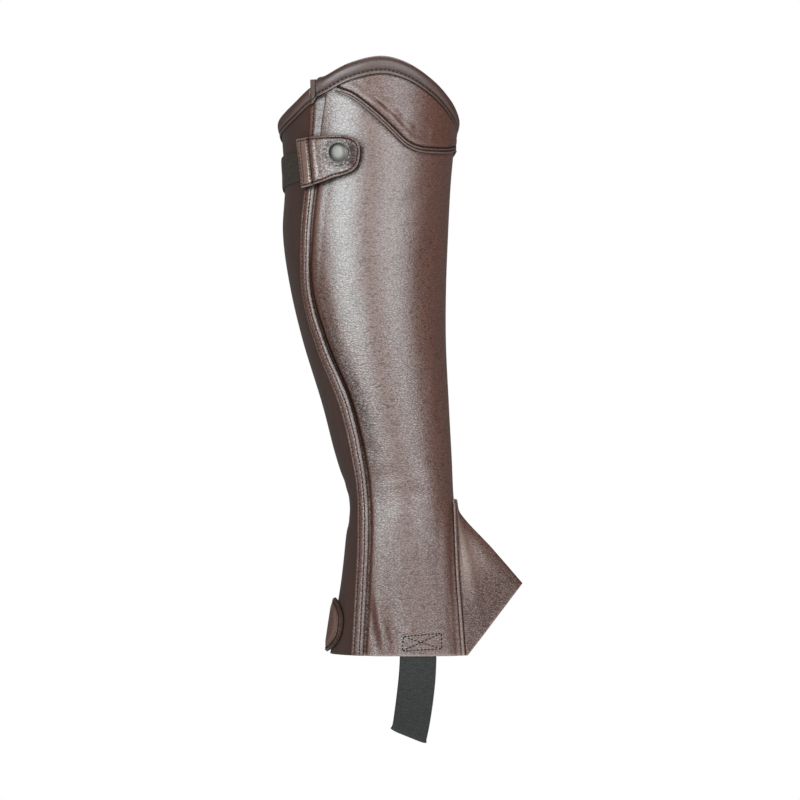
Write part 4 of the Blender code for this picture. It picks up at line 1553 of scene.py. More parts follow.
@dataclass
class Yoke(Dressed):
    """The shaped yoke over the front of the top, with a piped lower edge."""

    wall: float = 0.0011
    least: float = 0.002
    piping_radius: float = 0.0009
    piping_drop: float = 0.0017
    # how far each ridge beside the edge stands out, where it lies and half its width
    edge_ridges: Rows = ((0.00035, 0.0005, 0.0011), (-0.00035, 0.0017, 0.0009))
    # how rubbed with painted highlight (above 0) or painted shade (below 0) each line beside the edge is,
    # where it lies and half its width
    edge_wear_and_light: Rows = ((0.25, 0.0006, 0.0008), (-0.95, 0.0018, 0.0015))
    # angle, height of the yoke's lower edge
    edge_rows: Rows = (
        (-20, 0.413), (-10, 0.4085), (1.5, 0.3985), (10, 0.39), (18, 0.3816), (25, 0.375), (34, 0.371),
        (46, 0.37), (66, 0.3708), (90, 0.3732), (105, 0.3695), (120, 0.3645), (135, 0.363), (152, 0.364),
    )
    per_degree: float = 0.00108
    pucker: float = 1.1
    thread: float = 0.00036
    stitch: float = 0.0024
    sewn_above: float = 0.0017
    sewn_length: float = 0.215
    sunk: float = 0.0003
    columns: int = 250
    rows: int = 60
    # angle, height, slant, half length, half width, how far it stands out
    creases: Rows = (
        (0, 0.4072, -30, 0.01, 0.003, -0.0005), (5.5, 0.4032, -50, 0.008, 0.0036, 0.0006),
        (9, 0.4078, -12, 0.009, 0.0028, 0.0005), (11, 0.3985, -62, 0.006, 0.0028, -0.0004),
        (15, 0.4025, -26, 0.01, 0.003, -0.0005), (17, 0.3962, -52, 0.007, 0.0036, 0.0006),
        (23, 0.3934, -36, 0.009, 0.003, -0.0005), (27, 0.3868, -66, 0.006, 0.0034, 0.0005),
        (46, 0.3815, 78, 0.008, 0.0024, 0.0003), (10, 0.412, 16, 0.014, 0.0024, -0.0003),
        (60, 0.385, 80, 0.009, 0.0026, -0.0003), (88, 0.381, -70, 0.008, 0.0024, -0.0004),
        (104, 0.377, 62, 0.009, 0.0024, 0.0004), (118, 0.373, -58, 0.008, 0.0022, -0.0004),
        (136, 0.3695, 70, 0.006, 0.0022, 0.0003),
    )

    def ends(self) -> tuple[float, float]:
        """The angles at which the yoke starts and ends."""
        return self.edge_rows[0][0], self.edge_rows[-1][0]

    def upper(self, angle: Array) -> Array:
        """Height of the yoke's upper edge, under the binding."""
        return LEG.top(angle) - Binding.depth - LEG.clearance

    def lower(self, angle: Array) -> Array:
        """Height of the yoke's lower edge."""
        return np.minimum(Curve(self.edge_rows).at(angle), self.upper(angle) - self.least)

    def edge_off(self, angle: Array, height: Array) -> Array:
        """How far points lie from the yoke's lower edge."""
        line = np.linspace(*self.ends(), 160)
        outline = LEG.flat(line, self.lower(line), self.per_degree)
        return edge_distance(LEG.flat(angle, height, self.per_degree), outline)

    def shade(self, angle: Array, height: Array) -> Array:
        """How dark the painted shadow under the piping is on the body leather, from 0 to 1."""
        return 0.62 * swell(self.edge_off(angle, height), 0.0014, 0.0036) * (height < self.lower(angle))

    def edge_line(self, drop: float = 0.0, lift: float = 0.0) -> Path:
        """A line beside the yoke's lower edge.

        Args:
            drop: How far below the edge it runs, square to it.
            lift: How far it stands off the leg.

        Returns:
            A path along it.
        """
        angle = np.linspace(*self.ends(), 240)
        outline = inset_line(LEG.flat(angle, self.lower(angle), self.per_degree), -drop)

        def path(t: Array, more: float = 0.0) -> Array:
            """Points at shares of the line, lifted."""
            flat = walk(outline, np.asarray(t))
            return LEG.on(flat[..., 0] / self.per_degree, flat[..., 1], lift + more)

        return path

    def build(self) -> None:
        """Cuts the yoke, pipes it and sews it."""
        first, last = self.ends()
        across, up = cut_grid(self.columns, crowd(self.rows, 2.5, 0.0))
        angle = first + (last - first) * across
        low, high = self.lower(angle), self.upper(angle)
        height = low + (high - low) * up
        off = self.edge_off(angle, height)
        inside = ease(0.0, 0.006, off) * ease(0.0, 0.006, high - height)
        relief = (
            self.pucker * push_all(self.creases, angle, height, self.per_degree) * inside
            + ridges(off, self.edge_ridges)
            + (0.0004 + 0.001 * swell(angle, 9.0, 26.0)) * swell(off, 0.0052, 0.004)
        )
        # painted shade in the gap above the piping and under the binding's lower edge
        wear_and_painted_light = ridges(off, self.edge_wear_and_light) - 0.85 * (1 - ease(0.0, 0.0016, high - height))
        lift = LEG.clearance + self.wall
        sheet = Sheet("yoke_leather", [LEG.on(angle, height, lift + relief)], self.wall, [wear_and_painted_light])
        yoke = sheet.build(self.wardrobe.yoke_leather, self.wardrobe.flesh)
        piping = self.build_piping()
        sewing = Sewing("yoke_sewing", self.thread)
        line = self.edge_line(-self.sewn_above, lift - self.sunk)
        sewing.row(line, self.sewn_length, self.stitch)
        thread = sewing.build(self.wardrobe.thread, Slot.LEATHER)
        sheet.declare(yoke, Slot.LEATHER, "front_yoke", Hold.LAID)
        finish_piece(piping, Slot.LEATHER, "yoke_piping")

    def build_piping(self) -> Piece:
        """Wraps the round piping along the yoke's lower edge.

        Returns:
            The piping.
        """
        steps, sides = 260, 12
        t = np.linspace(0.0, 1.0, steps + 1)
        first, last = self.ends()
        angle = first + (last - first) * t
        height = self.lower(angle) - self.piping_drop
        middle = LEG.on(angle, height, LEG.clearance + self.piping_radius)
        out = unit(LEG.on(angle, height, 0.002) - LEG.on(angle, height, 0.001))
        side = np.cross(out, unit(np.gradient(middle, axis=0)))
        turn = np.linspace(0.0, math.tau, sides, endpoint=False)
        tapered = self.piping_radius * (0.35 + 0.65 * ease(0.0, 0.012, t) * ease(0.0, 0.012, 1 - t))
        wrinkle = tapered[:, None] * (1 + 0.05 * np.sin(t * 420)[:, None] * np.cos(turn)[None])
        points = (
            middle[:, None]
            + out[:, None] * (np.cos(turn)[None] * wrinkle)[..., None]
            + side[:, None] * (np.sin(turn)[None] * wrinkle)[..., None]
        )
        corner = np.arange((steps + 1) * sides).reshape(steps + 1, sides)
        after = np.roll(corner, -1, axis=1)
        faces = np.stack([corner[:-1], after[:-1], after[1:], corner[1:]], axis=-1).reshape(-1, 4).tolist()
        faces += [corner[0, ::-1].tolist(), corner[-1].tolist()]
        piece = mesh_piece("yoke_piping_cord", points, faces)
        # painted highlight on the piping's outer side and painted shade round its sides and underside
        paint_wear_and_light(piece, np.tile(1.3 * np.cos(turn) - 0.95, steps + 1))
        piece.data.materials.append(self.wardrobe.binding_leather)
        piece.data.shade_smooth()
        turn_outwards(piece)
        return piece


@dataclass
class SnapTab(Dressed):
    """The stitched tab that snaps over the zip, its snap and the elastic that it pulls on."""

    guard: Zip
    # angle, lower edge, upper edge
    tab_rows: Rows = (
        (-50.8, 0.342, 0.3778), (-44.0, 0.343, 0.3784), (-38.0, 0.3445, 0.379), (-30.0, 0.3466, 0.3794),
        (-23.0, 0.349, 0.3796), (-16.5, 0.3508, 0.3794), (-11.5, 0.3528, 0.3784), (-8.0, 0.3556, 0.3766),
        (-6.0, 0.3596, 0.374), (-5.2, 0.364, 0.371),
    )
    slant: float = 4.0
    lift: float = 0.0024
    rise_spread: float = 14.0
    wall: float = 0.0024
    snap_angle: float = -18.6
    snap_height: float = 0.3672
    snap_radius: float = 0.0076
    socket_radius: float = 0.0058
    socket_tall: float = 0.0016
    seam_inset: float = 0.0017
    per_degree: float = 0.0011
    columns: int = 110
    rows: int = 84
    fold: float = -39.5
    # how far each sewn column lies behind the fold
    sewn_columns: tuple[float, ...] = (-0.0014, -0.0072)
    # how far each ridge across the tab stands out, how far past the fold it lies and half its width
    fold_ridges: Rows = (
        (-0.0006, 0.0, 0.0016), (-0.00035, -0.0014, 0.001), (-0.00035, -0.0072, 0.001),
        (0.0004, 0.0032, 0.003),
    )
    # painted shade along the fold and both sewn columns: how dark, how far past the fold and half the width
    fold_painted_shade: Rows = ((-0.9, 0.0, 0.0012), (-0.5, -0.0014, 0.0008), (-0.5, -0.0072, 0.0008))
    # share of the last radius, rise
    dome: Rows = (
        (0.985, 0.00035), (0.955, 0.00012), (0.975, -0.00014), (0.97, 0.00022), (0.95, 0.00034),
        (0.93, 0.00034), (0.9, 0.0003), (0.86, 0.00026), (0.8, 0.0002), (0.7, 0.00013), (0.5, 0.00007),
    )
    stud: Rows = ((0.92, 0.0006), (0.9, 0.0003), (0.55, 0.0), (0.92, 0.0003))
    blank: float = 0.0004  # thickness that a disc is turned from
    thread: float = 0.00038
    stitch: float = 0.0024
    sewn_length: float = 0.118
    column_length: float = 0.03
    column_ends: tuple[float, float] = (0.08, 0.92)
    elastic_wall: float = 0.0015
    elastic_faces: tuple[int, int] = (150, 22)
    elastic_thread: float = 0.00035
    # shares of the elastic's length and height at the corners of its crossed box, in order
    elastic_box: Rows = (
        (0.015, 0.1), (0.015, 0.9), (0.075, 0.9), (0.075, 0.1), (0.015, 0.1), (0.075, 0.9),
    )
    # angle, lower edge, upper edge
    elastic_rows: Rows = (
        (224, 0.336, 0.36), (248, 0.3385, 0.3625), (270, 0.342, 0.3655), (290, 0.345, 0.3675),
        (308.5, 0.3475, 0.3685),
    )

    def under(self, angle: Array, height: Array) -> Array:
        """How far the tab's underside stands off the leg: it rises over the zip's guard.

        Args:
            angle: Their angles.
            height: Their heights.

        Returns:
            The lift at each point.
        """
        guard = self.guard
        over = guard.guard_lift + guard.guard_wall + guard.guard_roll + 2 * LEG.clearance - self.lift
        middle = LEG.along(LEG.guard(height), height, guard.guard_width / 2)
        return self.lift + over * np.exp(-(((angle - middle) / self.rise_spread) ** 2))

    def shade(self, angle: Array, height: Array) -> Array:
        """How dark the tab's painted shadow is on what lies beside it, most below it and in front of it.

        Args:
            angle: Their angles.
            height: Their heights.

        Returns:
            From -1 to 0 at each point.
        """
        flat = LEG.flat((angle + 180) % 360 - 180, height, self.per_degree)
        outline = self.outline()
        off = edge_distance(flat, outline)
        away = flat - np.array([-26.0 * self.per_degree, 0.364])
        facing = (0.3 * away[..., 0] - away[..., 1]) / np.maximum(np.linalg.norm(away, axis=-1), 1e-6)
        return -np.exp(-((off / 0.0026) ** 2)) * (0.25 + 0.85 * ease(-0.35, 0.2, facing))

    def outline(self) -> Array:
        """The tab's outline, from its upper back corner down and round by its lower edge.

        Returns:
            Its flat points.
        """
        first, last = self.tab_rows[0][0], self.tab_rows[-1][0]
        angle = first + (last - first) * np.sin(np.linspace(0, np.pi / 2, 120))
        back, front = np.linspace(1.0, 0.0, 24)[:-1], np.linspace(0.0, 1.0, 16)[1:-1]
        runs = ((first, back), (angle, 0.0), (last, front), (angle[::-1], 1.0))
        return np.concatenate([self.flat_place(*together(at, up)) for at, up in runs])

    def flat_place(self, base: Array, up: Array) -> Array:
        """Flat points at angles along the tab and shares of the way up it."""
        return LEG.flat(self.shear(base, up), height_between(self.tab_rows, base, up), self.per_degree)

    def shear(self, angle: Array, up: Array) -> Array:
        """Leans the tab's back end and rounds its front one.

        Args:
            angle: Their angles.
            up: Shares of the tab's height.

        Returns:
            The new angles.
        """
        first = self.tab_rows[0][0]
        lean = self.slant * (1 - up) * (1 - ease(first, self.snap_angle, angle))
        nose = 0.22 * (1 - (2 * up - 1) ** 2) * ease(-9.0, -5.2, angle)
        return angle + lean + nose

    def fold_at(self, up: Number) -> Number:
        """The angle of the fold at shares of the way up the tab."""
        return self.fold + self.slant * 0.6 * (1 - up)

    def build_tab(self) -> None:
        """Cuts the tab and sews it round its edge and in two columns."""
        first, last = self.tab_rows[0][0], self.tab_rows[-1][0]
        share = np.linspace(0.0, 1.0, self.columns + 1)
        share = np.sin(share * np.pi / 2) * 0.55 + share * 0.45
        across, up = cut_grid(share, self.rows)
        base = first + (last - first) * across
        angle, height = self.shear(base, up), height_between(self.tab_rows, base, up)
        outline = self.outline()
        off = edge_distance(LEG.flat(angle, height, self.per_degree), np.concatenate([outline, outline[:1]]))
        past_fold = (angle - self.fold_at(up)) * self.per_degree
        reach = np.hypot((angle - self.snap_angle) * self.per_degree, height - self.snap_height)
        relief = (
            -0.0011 * (1 - ease(0.0, 0.0009, off))
            - 0.0005 * swell(off, self.seam_inset, 0.0009)
            + 0.0004 * ease(0.0018, 0.006, off)
            + ridges(past_fold, self.fold_ridges)
            - 0.0006 * (1 - ease(self.snap_radius * 0.9, self.snap_radius * 1.5, reach))
        )
        stand = self.under(angle, height) + self.wall + relief
        # rubbed wear with painted highlight round the edge and behind the fold, painted shade along the
        # sewing, the fold, round the snap and towards the nose
        wear_and_painted_light = (
            0.8 * (1 - ease(0.0003, 0.0011, off))
            + 0.5 * (1 - ease(-0.0015, 0.0005, past_fold))
            - 0.7 * swell(off, self.seam_inset, 0.0008)
            + ridges(past_fold, self.fold_painted_shade)
            - 0.45 * swell(reach, self.snap_radius * 1.25, 0.0034)
            - 0.42 * ease(-15.0, -9.0, angle) * ease(0.0014, 0.003, off)
        )
        sheet = Sheet("tab_leather", [LEG.on(angle, height, stand)], self.wall - 0.0006, [wear_and_painted_light])
        tab = sheet.build(self.wardrobe.tab_leather, self.wardrobe.flesh)
        sewing = Sewing("tab_sewing", self.thread)
        line = inset_line(outline, self.seam_inset)[6:]
        line = line[(line[:, 0] > outline[:, 0].min() + self.seam_inset * 0.8)]

        def face(flat: Array, lift: float) -> Array:
            """Points over the tab's face."""
            at, up_at = flat[..., 0] / self.per_degree, flat[..., 1]
            return LEG.on(at, up_at, self.under(at, up_at) + self.wall - 0.0005 + lift)

        sewing.row(lambda t, lift: face(walk(line, t), lift), self.sewn_length, self.stitch)
        for shift in self.sewn_columns:
            share = np.array(self.column_ends)
            at = self.fold_at(share) + shift / self.per_degree
            column = LEG.flat(at, height_between(self.tab_rows, at, share), self.per_degree)
            sewing.row(
                lambda t, lift, c=column: face(walk(c, t), lift + 0.0002), self.column_length, self.stitch
            )
        thread = sewing.build(self.wardrobe.thread, Slot.LEATHER)
        sheet.declare(tab, Slot.LEATHER, "snap_tab", Hold.LAID)

    def snap_place(self, lift: float) -> Matrix:
        """Where a piece of the snap stands, with its own Z axis square to the leg.

        Args:
            lift: How far off the leg it stands.

        Returns:
            The place.
        """
        foot, above = (Vector(LEG.on(self.snap_angle, self.snap_height, one)) for one in (lift, lift + 0.001))
        out = (above - foot).normalized()
        return Matrix.Translation(foot) @ out.to_track_quat("Z", "Y").to_matrix().to_4x4()

    def turned_disc(self, name: str, radius: float, steps: Rows, place: Matrix) -> Piece:
        """Turns a disc from a plain blank by steps inwards and upwards.

        Args:
            name: The piece's name.
            radius: The blank's radius.
            steps: Each step's share of the last radius and its rise.
            place: Where the piece stands.

        Returns:
            The piece.
        """
        deselect()
        stand = (0, 0, self.blank / 2)
        bpy.ops.mesh.primitive_cylinder_add(vertices=72, radius=radius, depth=self.blank, location=stand)
        disc = bpy.context.object
        disc.name = disc.data.name = name
        bpy.ops.object.transform_apply(location=True, rotation=True, scale=True)
        bpy.ops.object.mode_set(mode="EDIT")
        bpy.ops.mesh.select_all(action="DESELECT")
        bpy.ops.object.mode_set(mode="OBJECT")
        for face in disc.data.polygons:
            face.select = face.normal.z > 0.9
        bpy.ops.object.mode_set(mode="EDIT")
        bpy.ops.mesh.select_mode(type="FACE")
        for share, rise in steps:
            bpy.ops.mesh.extrude_region_move(TRANSFORM_OT_translate={"value": (0, 0, rise)})
            bpy.ops.transform.resize(value=(share, share, 1.0))
        bpy.ops.object.mode_set(mode="OBJECT")
        sharp = math.radians(35)
        apply_modifier(disc, "BEVEL", width=0.00015, segments=2, limit_method="ANGLE", angle_limit=sharp)
        disc.data.transform(place)
        disc.data.materials.append(self.wardrobe.metal)
        take(disc)
        bpy.ops.object.shade_smooth_by_angle(angle=math.radians(40))
        return disc

    def build_snap(self) -> None:
        """Turns the snap's cap and its socket."""
        at = np.array(self.snap_angle), np.array(self.snap_height)
        top = float(self.under(*at)) + self.wall + LEG.clearance
        head, foot = self.snap_place(top - self.blank), self.snap_place(LEG.clearance)
        cap = self.turned_disc("snap_cap_nickel", self.snap_radius, self.dome, head)
        socket = self.turned_disc("snap_socket_nickel", self.socket_radius, self.stud, foot)
        finish_piece(cap, Slot.METAL, "snap_cap")
        finish_piece(socket, Slot.METAL, "snap_socket")

    def build_elastic(self) -> None:
        """Weaves the elastic and sews down its end on the inner side."""
        first, last = self.elastic_rows[0][0], self.elastic_rows[-1][0]
        across, up = cut_grid(*self.elastic_faces)

        def face(share: Number, rise: Number, lift: Number = 0.0) -> Array:
            """Points over the elastic's face."""
            share, rise = together(share, rise)
            angle = first + (last - first) * share
            edge = -0.00035 * (1 - ease(0.0, 0.08, np.minimum(rise, 1 - rise)))
            wave = 0.00012 * np.sin(angle * 1.1) * np.sin(rise * 7)
            stand = LEG.clearance + self.elastic_wall + edge + wave + lift
            return LEG.on(angle, height_between(self.elastic_rows, angle, rise), stand)

        sheet = Sheet("tab_elastic_band", [face(across, up)], self.elastic_wall, rim=LEG.rim)
        band = sheet.build(self.wardrobe.band_elastic)
        sewing = Sewing("band_sewing", self.elastic_thread)
        box = np.array(self.elastic_box)
        for run in zip(box[:-1], box[1:]):
            side = np.stack(run)
            far = float(np.linalg.norm(np.diff(face(side[:, 0], side[:, 1]), axis=0)))
            sewing.row(lambda t, lift, s=side: face(*walk(s, t).T, lift), far, self.stitch)
        thread = sewing.build(self.wardrobe.thread, Slot.ELASTIC)
        sheet.declare(band, Slot.ELASTIC, "tab_elastic", Hold.STRETCHED)


@dataclass
class HeelPatch(Dressed):
    """The rounded leather patch round the back of the hem."""

    half_turn: float = 31.0
    middle: float = 0.0208
    half_height: float = 0.02
    wall: float = 0.003
    bulge: float = 0.001
    squareness: float = 2.2
    reach: float = 0.985
    seam_inset: float = 0.0027
    # how rubbed with painted highlight (above 0) or painted shade (below 0) each line inside the edge is,
    # where it lies and half its width
    wear_and_light_marks: Rows = ((0.3, 0.006, 0.0024), (-0.8, 0.0027, 0.001))
    thread: float = 0.00036
    stitch: float = 0.0025
    sewn_length: float = 0.12
    per_degree: float = 0.0007
    columns: int = 100
    rows: int = 60

    def half(self, share: Array) -> Array:
        """Half the patch's height at shares of its half turn."""
        return self.half_height * (1 - np.abs(share) ** self.squareness) ** (1 / self.squareness)

    def edge(self, turn: Array, above: float) -> Array:
        """The patch's upper edge, or where above is -1 its lower one, at turns in radians."""
        share = np.sin(turn) * self.reach
        return LEG.flat(270 + self.half_turn * share, self.middle + above * self.half(share), self.per_degree)

    def build(self) -> None:
        """Cuts the patch and sews it round."""
        across, up = cut_grid(self.columns, self.rows)
        share = np.sin(np.pi / 2 * (2 * across - 1)) * self.reach
        angle = 270 + self.half_turn * share
        height = self.middle + self.half(share) * (2 * up - 1)
        turn = np.linspace(-np.pi / 2, np.pi / 2, 120)
        outline = np.concatenate([self.edge(turn, -1.0), self.edge(turn[::-1], 1.0)])
        outline = np.concatenate([outline, outline[:1]])
        off = edge_distance(LEG.flat(angle, height, self.per_degree), outline)
        relief = (
            -0.0016 * (1 - ease(0.0, 0.0014, off))
            - 0.0006 * swell(off, self.seam_inset, 0.0011)
            + 0.0005 * ease(0.0035, 0.008, off)
        )
        base = LEG.clearance + self.wall
        stand = base + self.bulge * (1 - share * share) + relief
        # painted shade round the rim and along the sewing
        wear_and_painted_light = ridges(off, self.wear_and_light_marks) - 0.7 * (1 - ease(0.0004, 0.0026, off))
        sheet = Sheet("heel_leather", [LEG.on(angle, height, stand)], self.wall - 0.0016, [wear_and_painted_light])
        patch = sheet.build(self.wardrobe.heel_leather, self.wardrobe.flesh)
        sewing = Sewing("heel_sewing", self.thread)
        line = inset_line(outline, self.seam_inset)

        def face(t: Array, lift: float) -> Array:
            """Points over the patch's face."""
            flat = walk(line, t)
            at = flat[..., 0] / self.per_degree
            share_at = (at - 270) / self.half_turn
            return LEG.on(at, flat[..., 1], base + self.bulge * (1 - share_at**2) - 0.0004 + lift)

        sewing.row(face, self.sewn_length, self.stitch)
        thread = sewing.build(self.wardrobe.thread, Slot.LEATHER)
        sheet.declare(patch, Slot.LEATHER, "heel_patch", Hold.LAID)


@dataclass
class Spat(Dressed):
    """The pointed spat over the instep, lapped and double-stitched on the body leather."""

    top: float = 0.1136
    tip: float = 0.0517
    # height, distance forward of the ridge
    ridge_rows: Rows = ((0.0517, 0.1158), (0.078, 0.093), (0.103, 0.0702), (0.1136, 0.0674))
    lap: float = 0.005
    sewn: float = 0.0032
    wall: float = 0.0014
    rounding: float = 0.1
    fullness: float = 0.15
    thread: float = 0.00036
    stitch: float = 0.0026
    sewn_length: float = 0.108
    lap_columns: int = 22
    flank_columns: int = 56
    rows: int = 110
    # distance from the lap edge, relief
    lap_profile: Rows = (
        (0.0, -0.0003), (0.0005, 0.0003), (0.0014, 0.0006), (0.0024, 0.0003), (0.0032, -0.0004),
        (0.0038, 0.0001), (0.005, 0.0004),
    )
    # share up, share across the flank, slant of the run across, half length, half width, out
    flank_creases: Rows = (
        (0.62, 0.3, 0.5, 0.22, 0.16, 0.0004), (0.44, 0.44, 0.9, 0.22, 0.15, -0.0006),
        (0.28, 0.26, 0.3, 0.24, 0.12, 0.0007), (0.22, 0.62, -0.3, 0.22, 0.14, -0.0006),
        (0.1, 0.2, -0.6, 0.18, 0.1, 0.0005), (0.34, 0.72, 0.2, 0.2, 0.11, 0.0005),
    )

    def lap_point(self, up: Array, distance: Array, lift: Number) -> Array:
        """Points on the outer lap, in front of its back edge and off the leg."""
        height = self.top * up
        return LEG.on(LEG.along(LEG.lap(height), height, distance), height, lift)

    def flank(self, up: Array, t: Array) -> Array:
        """Points on the outer flank.

        Args:
            up: Shares of its height.
            t: Shares of the way back from the ridge to the lap.

        Returns:
            The points.
        """
        seam = self.lap_point(up, np.full_like(up, self.lap), LEG.clearance + self.wall)
        height = self.tip + (self.top - self.tip) * up
        ahead = Curve(self.ridge_rows).at(height)
        ridge = np.stack([ahead, np.zeros_like(up), height - LEG.calf_above_hem], axis=-1)
        root = math.sqrt(1 + self.rounding**2)
        toward = (root - np.sqrt(t * t + self.rounding**2)) / (root - self.rounding)
        point = seam + (ridge - seam) * toward[..., None]
        point[..., 1] = seam[..., 1] * t * (1 + self.fullness * (1 - t * t))
        return point

    def grid(self) -> tuple[Array, Array]:
        """The whole spat's face, from the outer lap over the ridge to the inner one.

        Returns:
            Its points, and how rubbed each is, with painted highlight above 0 and painted shade below 0.
        """
        up = np.linspace(0.0, 1.0, self.rows + 1)
        lap_at = np.linspace(0.0, self.lap, self.lap_columns + 1)[:-1]
        distance, lap_up = np.meshgrid(lap_at, up)
        padded = Curve(self.lap_profile).at(distance) * ease(0.0, 0.03, 1 - lap_up)
        lap = self.lap_point(lap_up, distance, LEG.clearance + self.wall + padded)
        t_at = 1 - np.linspace(0.0, 1.0, self.flank_columns + 1)
        t, flank_up = np.meshgrid(t_at, up)
        flank = self.flank(flank_up, t)
        push = 0.0004 * swell(t, 1.0, 0.1)
        for share_up, share, lean, long, wide, out in self.flank_creases:
            from_lap = 1 - t
            along = ((flank_up - share_up) + lean * (from_lap - share)) / math.hypot(1, lean)
            across = ((from_lap - share) - lean * (flank_up - share_up)) / math.hypot(1, lean)
            push = push + out * np.exp(-((along / long) ** 2) - (across / wide) ** 2)
        push = push * ease(0.0, 0.12, t)
        out = np.cross(np.gradient(flank, axis=1), np.gradient(flank, axis=0))
        out /= np.maximum(np.linalg.norm(out, axis=-1, keepdims=True), 1e-12)
        flank = flank + out * push[..., None]
        half = np.concatenate([lap, flank], axis=1)
        other = half[:, -2::-1] * np.array([1.0, -1.0, 1.0])
        # rubbed wear with painted highlight on the lap's padded edge, painted shade in the sewn groove
        edge = ridges(distance, ((0.45, 0.0012, 0.0014), (-0.9, 0.0032, 0.0009)))
        hem = 0.5 * (1 - ease(0.0, 0.016, up))[:, None]
        # painted shade towards the ridge and on the lower flank
        ridge = -0.3 * (1 - ease(0.0, 0.06, t)) - 0.24 * swell(flank_up, 0.08, 0.52)
        # painted highlight on the upper flank beside the lap
        upper = 0.95 * ease(0.25, 0.6, flank_up) * ease(0.2, 0.75, t)
        wear_and_painted_light = np.concatenate([edge + hem, ridge + upper + hem], axis=1)
        return np.concatenate([half, other], axis=1), np.concatenate([wear_and_painted_light, wear_and_painted_light[:, -2::-1]], axis=1)

    def build(self) -> None:
        """Cuts the spat and sews both its laps."""
        points, wear_and_painted_light = self.grid()
        sheet = Sheet("spat_leather", [points], self.wall, [wear_and_painted_light], even=True, rim=0.0002)
        spat = sheet.build(self.wardrobe.spat_leather, self.wardrobe.flesh, self.wardrobe.cut_edge)
        sewing = Sewing("spat_sewing", self.thread)

        def lap_row(t: Array, lift: float) -> Array:
            """Points along the sewing of the outer lap."""
            stand = LEG.clearance + self.wall - 0.0003 + lift
            return self.lap_point(0.02 + 0.95 * t, np.full_like(t, self.sewn), stand)

        for side in (1.0, -1.0):
            mirror = np.array([1.0, side, 1.0])
            sewing.row(lambda t, lift, m=mirror: lap_row(t, lift) * m, self.sewn_length, self.stitch)
        thread = sewing.build(self.wardrobe.thread, Slot.LEATHER)
        sheet.declare(spat, Slot.LEATHER, "front_spat", Hold.STRETCHED)


@dataclass
class FootStrap(Dressed):
    """The elastic strap under the foot, sewn inside both sides of the hem with a crossed box."""

    width: float = 0.0268
    spread: float = 0.0022
    wall: float = 0.0015
    faces: tuple[int, int] = (28, 190)
    thread: float = 0.0004
    stitch: float = 0.0026
    # forward, share of the way out to the leather, height, tilt, from the outer end to the middle
    path: Rows = (
        (0.0385, 1.0, 0.0135, 0), (0.0385, 1.0, 0.003, 0), (0.0383, 0.99, -0.007, -1),
        (0.0376, 0.93, -0.019, -4), (0.0362, 0.8, -0.032, -8), (0.0345, 0.6, -0.0446, -13),
        (0.0328, 0.36, -0.0551, -18), (0.0317, 0.15, -0.0607, -21), (0.0314, 0.0, -0.0622, -22),
    )
    # forward, height of the crossed box's corners on the outer side
    box: Rows = ((0.0276, 0.0144), (0.055, 0.0166), (0.0553, 0.0053), (0.0266, 0.0039))

    def face(self, across: Array, up: Array) -> Array:
        """Points of the strap's face.

        Args:
            across: Shares of its width.
            up: Shares of its length.

        Returns:
            The points.
        """
        whole = self.path + tuple((ahead, -out, *rest) for ahead, out, *rest in self.path[-2::-1])
        knots = [(float(step), *row) for step, row in enumerate(whole)]
        where = up * (len(knots) - 1)
        forward, share, height, tilt = (Curve(knots, column).at(where) for column in (1, 2, 3, 4))
        flare = self.spread * np.exp(-(((share) / 0.16) ** 2))
        offset = (0.5 - across) * (self.width + flare)
        curl = 0.0011 * np.exp(-((share / 0.22) ** 2)) * np.abs(2 * across - 1) ** 6
        lean = np.radians(tilt)
        forward = forward + offset * np.cos(lean)
        hem = np.maximum(height, 0.0)
        angle = LEG.angle_of(forward, hem)
        inside = LEG.on(np.where(share > 0, angle, 180 - angle), hem, -LEG.leather - LEG.clearance)
        drop = height - hem + offset * np.sin(lean) + curl
        return np.stack([forward, inside[..., 1] * np.abs(share), inside[..., 2] + drop], axis=-1)

    def build(self) -> None:
        """Weaves the strap and sews both its ends."""
        across, up = cut_grid(*self.faces)
        sheet = Sheet("foot_elastic", [self.face(across, up)], self.wall, rim=LEG.rim)
        strap = sheet.build(self.wardrobe.elastic)
        sewing = Sewing("strap_sewing", self.thread)
        corners = np.array(self.box)

        def row(t: Array, lift: float, run: Array, outer: bool) -> Array:
            """Points along one run of the box."""
            at = walk(run, t)
            angle = LEG.angle_of(at[:, 0], at[:, 1])
            return LEG.on(angle if outer else 180 - angle, at[:, 1], lift)

        for outer in (True, False):
            for ends in ((0, 1), (1, 2), (2, 3), (3, 0), (0, 2), (3, 1)):
                run = corners[list(ends)]
                far = float(np.linalg.norm(run[1] - run[0]))
                sewing.row(lambda t, lift, r=run, o=outer: row(t, lift, r, o), far, self.stitch)
        thread = sewing.build(self.wardrobe.thread, Slot.ELASTIC)
        sheet.declare(strap, Slot.ELASTIC, "foot_strap", Hold.HUNG)


@dataclass
class BackSeam(Dressed):
    """The two rows of sewing that hold the body leather over the knit at the back."""

    start: float = 0.003
    below_top: float = 0.0125
    rows: tuple[float, ...] = (0.0033, 0.0068)
    thread: float = 0.00034
    stitch: float = 0.0027

    def build(self) -> None:
        """Sews both rows."""
        sewing = Sewing("back_seam_sewing", self.thread)
        top = float(LEG.top(LEG.back_seam)) - self.below_top

        def row(t: Array, lift: float, inset: float) -> Array:
            """Points along one row."""
            height = self.start + (top - self.start) * t
            return LEG.on(LEG.along(LEG.back_seam, height, -inset), height, lift - 0.0001)

        for inset in self.rows:
            sewing.row(lambda t, lift, i=inset: row(t, lift, i), top - self.start, self.stitch)
        sewing.build(self.wardrobe.thread, Slot.LEATHER)


# The studio


